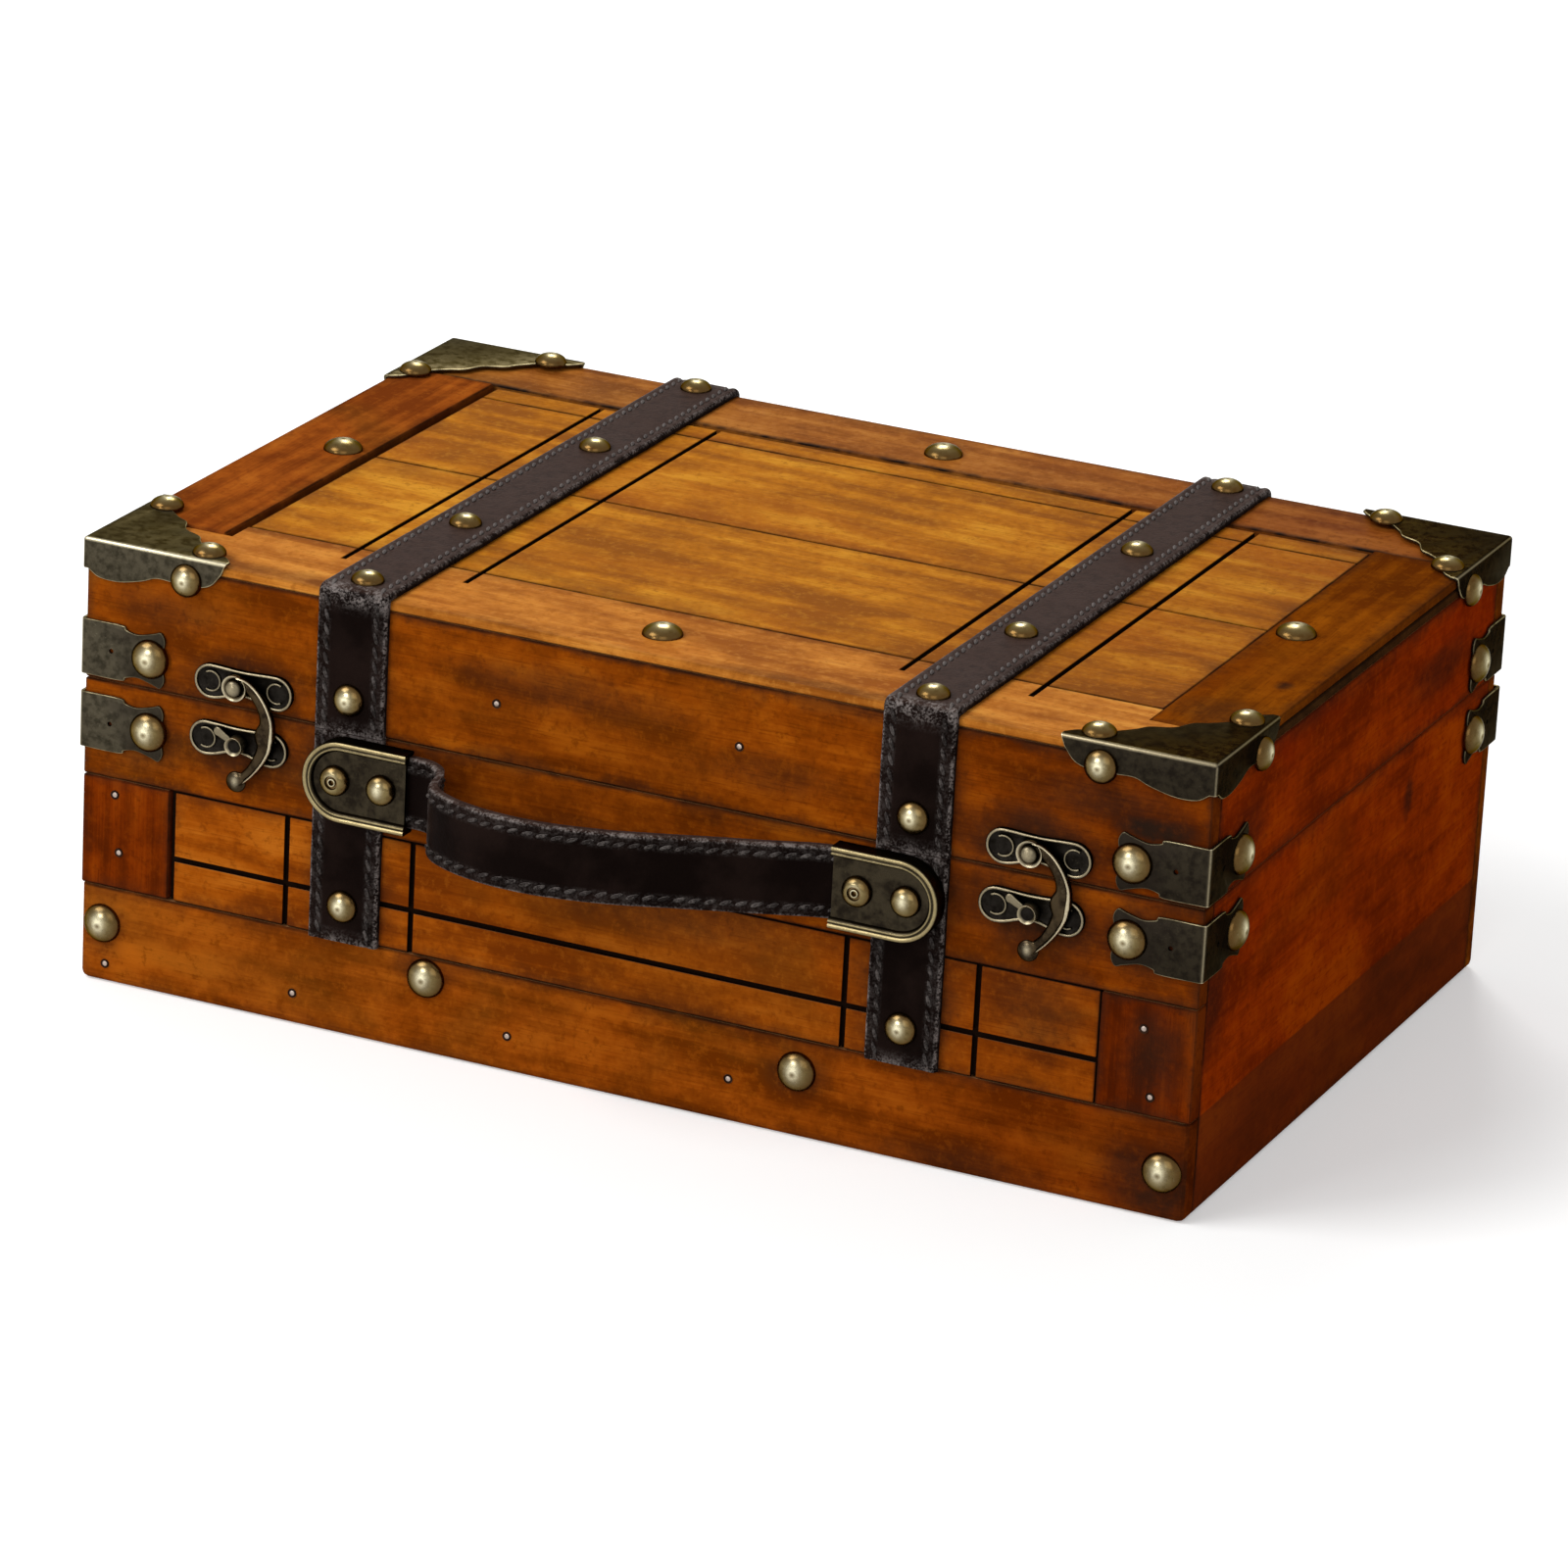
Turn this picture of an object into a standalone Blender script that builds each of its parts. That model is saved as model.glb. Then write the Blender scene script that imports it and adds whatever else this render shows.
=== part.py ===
"""Wooden suitcase box with a hinged lid, leather straps, a leather handle and two swing hook latches.

The frame has its origin at the middle of the wooden base, on the surface that it stands on.
+X runs to the right along the front, the front faces -Y and +Z is up. All lengths are in metres.
"""

import math

import bmesh
import bpy
from mathutils import Matrix, Vector

# Case, over the bare wood
CASE_LENGTH = 0.330
CASE_DEPTH = 0.217
CASE_HEIGHT = 0.127
SPLIT_HEIGHT = 0.088
FIT_GAP = 0.0003
OVERRUN = 0.002
MERGE_DISTANCE = 0.00001

# Boards
BOARD = 0.006
BASE_BOARD = 0.005
TOP_PANEL = 0.0028
TOP_PLANK = 0.0025
SOFT_EDGE = 0.0004
CORNER_RADIUS = 0.0022
CORNER_SEGMENTS = 3

# Front of the box
BOTTOM_RAIL_HEIGHT = 0.028
TOP_RAIL_HEIGHT = 0.028
END_BLOCK = 0.027
KERF_WIDTH = 0.0017
KERF_DEPTH = 0.0015
PANEL_KERF_SHARES = (0.131, 0.270, 0.737, 0.875)
PANEL_LONG_KERF_SHARE = 0.39

# Top of the lid
FRONT_STRIP = 0.035
FRONT_STRIP_NOTCH = 0.010
BACK_STRIP = 0.030
NARROW_PLANK = 0.010
END_STRIP = 0.0285
WIDE_KERF = 0.0022
TOP_KERF_SHARES = (0.126, 0.263, 0.739, 0.876)
TOP_SEAM_SHARE = 0.58
END_STRIP_RISE = 0.0005

# Leather straps round the case
STRAP_WIDTH = 0.021
STRAP_THICKNESS = 0.0020
STRAP_INSET = 0.082
STRAP_BEND = 0.0008
STRAP_BEND_STEPS = 3
STRAP_EDGE = 0.0006
STRAP_BACK_CLEARANCE = 0.0005

# Leather handle and its two clips
HANDLE_HEIGHT = 0.0204
HANDLE_THICKNESS = 0.0026
HANDLE_REACH = 0.0310
HANDLE_EDGE = 0.0006
HANDLE_STEPS_PER_SPAN = 3
TONGUE_ARC = 75
TONGUE_ARC_STEPS = 6
HANDLE_PATH_SHARES = (
    (0.000, 0.00), (0.045, 0.03), (0.080, 0.14), (0.098, 0.30), (0.106, 0.46),
    (0.120, 0.62), (0.152, 0.76), (0.205, 0.88), (0.275, 0.97), (0.355, 1.00),
    (0.440, 0.97), (0.550, 0.84), (0.660, 0.64), (0.770, 0.43), (0.880, 0.22),
    (0.955, 0.06), (1.000, 0.00),
)
CLIP_LENGTH = 0.031
CLIP_HEIGHT = 0.023
CLIP_INSET = 0.0868
CLIP_DROP = 0.012
CLIP_WALL = 0.0010
CLIP_FLOOR = 0.0012
CLIP_RIM = 0.0028
CLIP_RIM_RISE = 0.0013
CLIP_ARC_STEPS = 12
CLIP_RIVET_OUTER = 0.0060
CLIP_RIVET_INNER = 0.0080
RIVET_HEAD_RADIUS = 0.0043
RIVET_HEAD_RISE = 0.0026
RIVET_SHANK_RADIUS = 0.0014
RIVET_TAIL_RADIUS = 0.0026
RIVET_TAIL_THICKNESS = 0.0007

# Round headed nails
NAIL_RADIUS = 0.0055
NAIL_RISE = 0.0030
STRAP_NAIL_RADIUS = 0.0045
STRAP_NAIL_RISE = 0.0027
CAP_NAIL_RADIUS = 0.0046
CAP_NAIL_RISE = 0.0026
NAIL_SEAT = 0.0004
NAIL_STEPS = 12
NAIL_RINGS = 3
RAIL_NAIL_SHARES = ((0.021, 0.62), (0.324, 0.79), (0.660, 0.68), (0.979, 0.48))
BORDER_NAIL_INSET = 0.0165
END_NAIL_INSET = 0.0207
LID_STRAP_NAIL_LIFT = 0.0095
BOX_STRAP_NAIL_HEIGHT = 0.0385
STRAP_TOP_NAIL_EDGE = 0.0065
STRAP_TOP_NAIL_SHARES = (0.295, 0.665)

# Corner caps of the lid
SHEET = 0.0008
SHEET_BEND = 0.0011
CAP_LEG = 0.044
CAP_TOP_SHARES = (
    (1.00, 0.055), (0.93, 0.13), (0.80, 0.17), (0.66, 0.31), (0.60, 0.40),
    (0.47, 0.47), (0.40, 0.60), (0.31, 0.66), (0.17, 0.80), (0.13, 0.93), (0.055, 1.00),
)
CAP_SKIRT_SHARE = 0.287
CAP_SKIRT_SHARES = (
    (0.97, 0.30), (0.90, 0.62), (0.80, 0.74), (0.66, 0.74), (0.52, 0.72), (0.42, 0.86),
    (0.26, 1.00), (0.12, 0.98), (0.04, 0.80),
)
CAP_NAIL_TOP_ALONG = 0.0345
CAP_NAIL_SKIRT_ALONG = 0.0310
CAP_NAIL_EDGE = 0.0052

# Corner brackets at the split
BRACKET_LENGTH = 0.026
BRACKET_HEIGHT_SHARE = 0.41
BRACKET_SPLIT_CLEARANCE = 0.0010
BRACKET_BOX_CLEARANCE = 0.0038
BRACKET_SHARES = (
    (0.00, 1.00), (0.48, 1.00), (0.54, 0.86), (0.68, 0.78), (0.86, 0.92), (0.95, 1.00),
    (1.00, 0.72), (0.985, 0.36),
)
BRACKET_NAIL_ALONG = 0.0205
BRACKET_NAIL_SHARE = 0.344

# Swing hook latches
LATCH_LEFT_INSET = 0.0494
LATCH_RIGHT_INSET = 0.0466
LATCH_SPAN = 0.030
LATCH_LOBE_RADIUS = 0.0050
LATCH_WAIST_TOP_SHARE = 0.92
LATCH_WAIST_BOTTOM_SHARE = 0.55
LATCH_ARC_STEPS = 8
LATCH_PLATE = 0.0010
LATCH_PLATE_RISE = 0.0068
CATCH_PLATE_DROP = 0.0096
CATCH_SHIFT = 0.0011
PIVOT_SHIFT = 0.0018
PIVOT_HEAD_RADIUS = 0.0024
PIVOT_HEAD_RISE = 0.0014
PIVOT_SHANK_RADIUS = 0.0011
STUD_RADIUS = 0.0026
STUD_RISE = 0.0034
STUD_ARM = 0.0075
STUD_ARM_WIDTH = 0.0024
HOOK_THICKNESS = 0.0022
HOOK_RADIUS = 0.0015
HOOK_EYE_RADIUS = 0.0040
HOOK_KNOB_RADIUS = 0.0024
HOOK_DROP = 0.0276
HOOK_BULGE = 0.0105
HOOK_STEPS_PER_SPAN = 3
HOOK_PATH_SHARES = (
    (0.10, -0.085, 1.00), (0.40, -0.045, 1.00), (0.68, 0.080, 1.00), (0.92, 0.240, 1.05),
    (1.00, 0.430, 1.30), (0.86, 0.580, 2.00), (0.66, 0.730, 1.45), (0.36, 0.900, 1.05),
    (0.08, 1.000, 1.00),
)

# Butt hinges at the back
HINGE_INSET = 0.049
LEAF_WIDTH = 0.024
LEAF_HEIGHT = 0.0105
LEAF_SHEET = 0.0010
KNUCKLE_RADIUS = 0.0022
KNUCKLE_SIDES = 16
PIN_RADIUS = 0.0010
BORE_CLEARANCE = 0.00025
KNUCKLE_SHARE = 0.34

# Places worked out from the sizes
HALF_LENGTH = CASE_LENGTH / 2
HALF_DEPTH = CASE_DEPTH / 2
INNER_DEPTH = HALF_DEPTH - BOARD - FIT_GAP
LID_HEIGHT = CASE_HEIGHT - SPLIT_HEIGHT
LID_FLOOR = SPLIT_HEIGHT + FIT_GAP
PANEL_TOP = SPLIT_HEIGHT - TOP_RAIL_HEIGHT
PLANK_BOTTOM = CASE_HEIGHT - TOP_PLANK
TOP_PANEL_TOP = PLANK_BOTTOM - FIT_GAP
LID_SIDE_TOP = TOP_PANEL_TOP - TOP_PANEL - FIT_GAP
STRAP_FACE = FIT_GAP + STRAP_THICKNESS
STRAP_X = HALF_LENGTH - STRAP_INSET
CLIP_X = HALF_LENGTH - CLIP_INSET
CLIP_CENTRE_HEIGHT = SPLIT_HEIGHT - CLIP_DROP
TONGUE_BACK = STRAP_FACE + FIT_GAP
TONGUE_FACE = TONGUE_BACK + HANDLE_THICKNESS
CLIP_FLOOR_BACK = TONGUE_FACE + FIT_GAP
CLIP_FLOOR_FACE = CLIP_FLOOR_BACK + CLIP_FLOOR
CLIP_FACE = CLIP_FLOOR_FACE + CLIP_RIM_RISE
HANDLE_MOUTH = CLIP_X - CLIP_LENGTH / 2
TONGUE_ROUND_X = CLIP_X + CLIP_LENGTH / 2 - CLIP_HEIGHT / 2
SHEET_FACE = FIT_GAP + SHEET
CAP_SKIRT = CAP_SKIRT_SHARE * LID_HEIGHT
BRACKET_HEIGHT = BRACKET_HEIGHT_SHARE * LID_HEIGHT
BRACKET_NAIL_RADIUS = BRACKET_NAIL_SHARE * BRACKET_HEIGHT
LATCH_PLATE_FACE = FIT_GAP + LATCH_PLATE
HOOK_BACK = LATCH_PLATE_FACE + FIT_GAP
HOOK_FACE = HOOK_BACK + HOOK_THICKNESS
PLATE_HEIGHT = SPLIT_HEIGHT + LATCH_PLATE_RISE
CATCH_HEIGHT = SPLIT_HEIGHT - CATCH_PLATE_DROP
HINGE_X = HALF_LENGTH - HINGE_INSET
HINGE_AXIS_Y = HALF_DEPTH + FIT_GAP + KNUCKLE_RADIUS
HINGE_AXIS_Z = SPLIT_HEIGHT + FIT_GAP / 2
LATCHES = {
    "left": LATCH_LEFT_INSET - HALF_LENGTH,
    "right": HALF_LENGTH - LATCH_RIGHT_INSET,
}
SIDES = {"left": -1, "right": 1}


def clear_scene():
    """Remove every object that the file starts with."""
    for obj in list(bpy.data.objects):
        bpy.data.objects.remove(obj, do_unlink=True)


def new_collection(name):
    """Add a collection to the scene."""
    collection = bpy.data.collections.new(name)
    bpy.context.scene.collection.children.link(collection)
    return collection


clear_scene()
PARTS = new_collection("wooden_suitcase_box")
CUTTERS = new_collection("case_cutters")


def principled(name, colour, roughness, metallic=0.0):
    """Make a plain material from a base colour, a roughness and a metallic value."""
    material = bpy.data.materials.new(name)
    material.use_nodes = True
    shader = material.node_tree.nodes["Principled BSDF"]
    shader.inputs["Base Color"].default_value = (*colour, 1.0)
    shader.inputs["Roughness"].default_value = roughness
    shader.inputs["Metallic"].default_value = metallic
    material.diffuse_color = (*colour, 1.0)
    return material


FINISHES = {
    "amber": ((0.52, 0.22, 0.05), 0.42, 0.0),
    "orange": ((0.38, 0.12, 0.03), 0.42, 0.0),
    "russet": ((0.26, 0.07, 0.02), 0.42, 0.0),
    "bare": ((0.44, 0.29, 0.16), 0.70, 0.0),
    "leather": ((0.035, 0.025, 0.025), 0.50, 0.0),
    "bronze": ((0.22, 0.19, 0.12), 0.42, 1.0),
    "dark_bronze": ((0.11, 0.09, 0.06), 0.42, 1.0),
    "brass": ((0.55, 0.47, 0.28), 0.30, 1.0),
}


def pivot(name, place, parent=None):
    """Add an empty on a joint's axis, for the pieces that move with it."""
    empty = bpy.data.objects.new(name, None)
    empty.location = place
    PARTS.objects.link(empty)
    if parent is not None:
        empty.parent = parent
        empty.matrix_parent_inverse = Matrix.Translation(-parent.location)
    return empty


LID_PIVOT = pivot("lid_pivot", Vector((0, HINGE_AXIS_Y, HINGE_AXIS_Z)))


def finish(obj, finish_name, parent=None):
    """Give a piece its own material and hang it on its pivot."""
    colour, roughness, metallic = FINISHES[finish_name]
    obj.data.materials.clear()
    obj.data.materials.append(principled(obj.name, colour, roughness, metallic))
    if parent is not None:
        obj.parent = parent
        obj.matrix_parent_inverse = Matrix.Translation(-parent.location)
    return obj


def mesh_object(name, mesh, collection=None):
    """Put a mesh in an object of its own."""
    obj = bpy.data.objects.new(name, mesh)
    (collection or PARTS).objects.link(obj)
    return obj


def as_cutter(obj):
    """Show a cutting shape as wire and keep it out of renders."""
    obj.display_type = "WIRE"
    obj.hide_render = True
    return obj


def cube_mesh(name, low, high):
    """Make a box mesh round its own middle, and give that middle."""
    size = high - low
    shape = bmesh.new()
    bmesh.ops.create_cube(shape, size=1, matrix=Matrix.Diagonal((*size, 1)))
    mesh = bpy.data.meshes.new(name)
    shape.to_mesh(mesh)
    shape.free()
    return mesh, (low + high) / 2


def block(name, low, high, collection=None):
    """Add a box between two corners."""
    mesh, middle = cube_mesh(name, Vector(low), Vector(high))
    obj = mesh_object(name, mesh, collection)
    obj.location = middle
    return obj


def round_outer_edges(obj, faces):
    """Round the edges where two of the named outer faces meet, such as ("-x", "-z")."""
    axes = {"x": 0, "y": 1, "z": 2}
    limits = []
    for face in faces:
        axis = axes[face[1]]
        side = -1 if face[0] == "-" else 1
        reach = max(side * vertex.co[axis] for vertex in obj.data.vertices)
        limits.append((axis, side, reach))
    shape = bmesh.new()
    shape.from_mesh(obj.data)

    def faces_of(edge):
        count = 0
        for axis, side, reach in limits:
            ends = [side * vertex.co[axis] for vertex in edge.verts]
            count += all(abs(end - reach) < MERGE_DISTANCE for end in ends)
        return count

    chosen = [edge for edge in shape.edges if faces_of(edge) == 2]
    bmesh.ops.bevel(shape, geom=chosen, offset=CORNER_RADIUS, segments=CORNER_SEGMENTS,
                    profile=0.5, affect="EDGES", clamp_overlap=True)
    shape.to_mesh(obj.data)
    shape.free()


def bevel(obj, width, segments=1, angle=50):
    """Soften the sharp edges of a piece."""
    modifier = obj.modifiers.new("soft_edges", "BEVEL")
    modifier.width = width
    modifier.segments = segments
    modifier.limit_method = "ANGLE"
    modifier.angle_limit = math.radians(angle)
    modifier.use_clamp_overlap = True


def boolean(obj, other, operation="DIFFERENCE"):
    """Cut or join a piece with another shape, which stays in its own collection."""
    modifier = obj.modifiers.new(operation.lower(), "BOOLEAN")
    modifier.operation = operation
    modifier.solver = "EXACT"
    modifier.object = other


def baked_mesh(obj, name):
    """Read an object's finished shape in the case's frame, weld it and remove the object."""
    bpy.context.view_layer.update()
    depsgraph = bpy.context.evaluated_depsgraph_get()
    mesh = bpy.data.meshes.new_from_object(obj.evaluated_get(depsgraph))
    mesh.name = name
    shape = bmesh.new()
    shape.from_mesh(mesh)
    bmesh.ops.transform(shape, matrix=obj.matrix_world, verts=shape.verts)
    bmesh.ops.remove_doubles(shape, verts=shape.verts, dist=MERGE_DISTANCE)
    bmesh.ops.recalc_face_normals(shape, faces=shape.faces)
    shape.to_mesh(mesh)
    shape.free()
    bpy.data.objects.remove(obj, do_unlink=True)
    return mesh


def combined_mesh(base, joined=(), cut=()):
    """Join shapes to a base, cut others from it, and give the one mesh that results."""
    for other in joined:
        boolean(base, other, "UNION")
    for other in cut:
        boolean(base, other, "DIFFERENCE")
    mesh = baked_mesh(base, base.name)
    for other in (*joined, *cut):
        bpy.data.objects.remove(other, do_unlink=True)
    return mesh


def cylinder(name, radius, start, end, sides, collection=None):
    """Add a round bar from one point to another."""
    start = Vector(start)
    end = Vector(end)
    axis = end - start
    shape = bmesh.new()
    bmesh.ops.create_cone(shape, cap_ends=True, segments=sides, radius1=radius, radius2=radius,
                          depth=axis.length)
    mesh = bpy.data.meshes.new(name)
    shape.to_mesh(mesh)
    shape.free()
    obj = mesh_object(name, mesh, collection)
    obj.rotation_mode = "QUATERNION"
    obj.rotation_quaternion = axis.to_track_quat("Z", "Y")
    obj.location = (start + end) / 2
    return obj


def turned_mesh(name, profile):
    """Turn a profile of (radius, height) points, given from its top down, about the Z axis."""
    mesh = bpy.data.meshes.new(name)
    shape = bmesh.new()
    points = [shape.verts.new((radius, 0, height)) for radius, height in profile]
    for first, second in zip(points, points[1:]):
        shape.edges.new((first, second))
    shape.to_mesh(mesh)
    shape.free()
    obj = mesh_object(name, mesh, CUTTERS)
    modifier = obj.modifiers.new("turn", "SCREW")
    modifier.steps = NAIL_STEPS
    modifier.render_steps = NAIL_STEPS
    modifier.use_merge_vertices = True
    modifier.merge_threshold = MERGE_DISTANCE
    return baked_mesh(obj, name)


def dome_profile(radius, rise, rings):
    """List the points of a domed head from its crown to its rim."""
    points = []
    for ring in range(rings + 1):
        angle = math.pi / 2 * ring / rings
        points.append((radius * math.sin(angle), rise * math.cos(angle)))
    return points


def nail_mesh(name, radius, rise):
    """Make a domed nail head that stands on z = 0 and is seated a little below it."""
    profile = [*dome_profile(radius, rise, NAIL_RINGS), (radius, -NAIL_SEAT), (0, -NAIL_SEAT)]
    return turned_mesh(name, profile)


def outline_mesh(name, points, thickness):
    """Fill a flat outline and give it a thickness that starts at z = 0."""
    curve = bpy.data.curves.new(name, "CURVE")
    curve.dimensions = "2D"
    curve.fill_mode = "BOTH"
    curve.extrude = thickness / 2
    spline = curve.splines.new("POLY")
    spline.points.add(len(points) - 1)
    for point, (x, y) in zip(spline.points, points):
        point.co = (x, y, 0, 1)
    spline.use_cyclic_u = True
    obj = bpy.data.objects.new(name, curve)
    obj.location = (0, 0, thickness / 2)
    CUTTERS.objects.link(obj)
    return baked_mesh(obj, name)


def copies(name, mesh, places, collection=None):
    """Place copies of one shape in one object."""
    shape = bmesh.new()
    for place in places:
        known = set(shape.faces)
        first = len(shape.verts)
        shape.from_mesh(mesh)
        shape.verts.ensure_lookup_table()
        bmesh.ops.transform(shape, matrix=place, verts=shape.verts[first:])
        if place.determinant() < 0:
            added = [face for face in shape.faces if face not in known]
            bmesh.ops.reverse_faces(shape, faces=added)
    joined = bpy.data.meshes.new(name)
    shape.to_mesh(joined)
    shape.free()
    return mesh_object(name, joined, collection)


def nail_down(obj, nail, places):
    """Join the nail heads that pin a piece to that piece."""
    heads = as_cutter(copies(f"{obj.name}_nails", nail, places, CUTTERS))
    boolean(obj, heads, "UNION")
    return obj


def smooth(obj, angle=40):
    """Shade the round faces smooth and keep the sharp edges."""
    obj.data.shade_smooth()
    obj.data.set_sharp_from_angle(angle=math.radians(angle))
    return obj


def on_front(x, z, proud):
    """Give the frame of a piece on the front face, with its own Z facing out."""
    turn = Matrix.Rotation(math.pi / 2, 4, "X")
    return Matrix.Translation((x, -HALF_DEPTH - proud, z)) @ turn


def on_back(x, z, proud):
    """Give the frame of a piece on the back face."""
    turn = Matrix.Rotation(math.pi, 4, "Z") @ Matrix.Rotation(math.pi / 2, 4, "X")
    return Matrix.Translation((x, HALF_DEPTH + proud, z)) @ turn


def on_top(x, y, proud):
    """Give the frame of a piece on the top of the lid."""
    return Matrix.Translation((x, y, CASE_HEIGHT + proud))


def on_side(side, y, z, proud):
    """Give the frame of a piece on the left or right face."""
    turn = Matrix.Rotation(side * math.pi / 2, 4, "Z") @ Matrix.Rotation(math.pi / 2, 4, "X")
    return Matrix.Translation((side * (HALF_LENGTH + proud), y, z)) @ turn


def board(name, low, high, finish_name, outer_faces=(), parent=None):
    """Add a wooden board with softened edges and rounded outer corners."""
    obj = block(name, low, high)
    if outer_faces:
        round_outer_edges(obj, outer_faces)
    bevel(obj, SOFT_EDGE)
    return finish(obj, finish_name, parent)


def kerf_cutter(name, boxes):
    """Join several long boxes, clear of each other, into one cutting shape."""
    shape = bmesh.new()
    for low, high in boxes:
        size = Vector(high) - Vector(low)
        middle = (Vector(high) + Vector(low)) / 2
        place = Matrix.Translation(middle) @ Matrix.Diagonal((*size, 1))
        bmesh.ops.create_cube(shape, size=1, matrix=place)
    mesh = bpy.data.meshes.new(name)
    shape.to_mesh(mesh)
    shape.free()
    return as_cutter(mesh_object(name, mesh, CUTTERS))


def build_box_boards():
    """Build the base, the walls and the framed front of the box."""
    front = -HALF_DEPTH
    board("box_base_board",
          (-HALF_LENGTH + BOARD + FIT_GAP, -INNER_DEPTH, 0),
          (HALF_LENGTH - BOARD - FIT_GAP, INNER_DEPTH, BASE_BOARD), "bare")
    board("box_front_bottom_rail", (-HALF_LENGTH, front, 0),
          (HALF_LENGTH, front + BOARD, BOTTOM_RAIL_HEIGHT), "orange", ("-x", "+x", "-y", "-z"))
    board("box_front_top_rail", (-HALF_LENGTH, front, PANEL_TOP + FIT_GAP),
          (HALF_LENGTH, front + BOARD, SPLIT_HEIGHT), "orange")
    for side_name, side in SIDES.items():
        outer = side * HALF_LENGTH
        inner = side * (HALF_LENGTH - END_BLOCK)
        board(f"box_front_end_block_{side_name}",
              (min(outer, inner), front, BOTTOM_RAIL_HEIGHT + FIT_GAP),
              (max(outer, inner), front + BOARD, PANEL_TOP), "russet")
        wall = side * (HALF_LENGTH - BOARD)
        outer_face = "-x" if side < 0 else "+x"
        board(f"box_{side_name}_board", (min(outer, wall), -INNER_DEPTH, 0),
              (max(outer, wall), INNER_DEPTH, SPLIT_HEIGHT), "russet", (outer_face, "-z"))
    board("box_back_board", (-HALF_LENGTH, HALF_DEPTH - BOARD, 0),
          (HALF_LENGTH, HALF_DEPTH, SPLIT_HEIGHT), "orange", ("-x", "+x", "+y", "-z"))
    build_front_panel()


def build_front_panel():
    """Build the sunk panel of the front, with its crossing kerfs."""
    front = -HALF_DEPTH
    end = HALF_LENGTH - END_BLOCK - FIT_GAP
    low = BOTTOM_RAIL_HEIGHT + FIT_GAP
    panel = board("box_front_panel", (-end, front, low), (end, front + BOARD, PANEL_TOP), "orange")
    floor = front + KERF_DEPTH
    boxes = [((-end - OVERRUN, front - OVERRUN, low - OVERRUN),
              (-end + KERF_WIDTH, floor, PANEL_TOP + OVERRUN))]
    for share in PANEL_KERF_SHARES:
        middle = (2 * share - 1) * end
        boxes.append(((middle - KERF_WIDTH / 2, front - OVERRUN, low - OVERRUN),
                      (middle + KERF_WIDTH / 2, floor, PANEL_TOP + OVERRUN)))
    boolean(panel, kerf_cutter("panel_cross_kerfs", boxes))
    height = low + PANEL_LONG_KERF_SHARE * (PANEL_TOP - low)
    long_kerf = kerf_cutter("panel_long_kerf", [
        ((-end - OVERRUN, front - OVERRUN, height - KERF_WIDTH / 2),
         (end + OVERRUN, floor, height + KERF_WIDTH / 2))])
    boolean(panel, long_kerf)


def build_lid_boards():
    """Build the walls of the lid and the panel that closes it."""
    for name, side, face in (("front", -1, "-y"), ("back", 1, "+y")):
        outer = side * HALF_DEPTH
        inner = side * (HALF_DEPTH - BOARD)
        board(f"lid_{name}_board", (-HALF_LENGTH, min(outer, inner), LID_FLOOR),
              (HALF_LENGTH, max(outer, inner), TOP_PANEL_TOP), "orange", parent=LID_PIVOT)
    for side_name, side in SIDES.items():
        outer = side * HALF_LENGTH
        inner = side * (HALF_LENGTH - BOARD)
        board(f"lid_{side_name}_board", (min(outer, inner), -INNER_DEPTH, LID_FLOOR),
              (max(outer, inner), INNER_DEPTH, LID_SIDE_TOP), "russet", parent=LID_PIVOT)
    board("lid_top_panel", (-HALF_LENGTH, -INNER_DEPTH, LID_SIDE_TOP + FIT_GAP),
          (HALF_LENGTH, INNER_DEPTH, TOP_PANEL_TOP), "bare", parent=LID_PIVOT)


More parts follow.
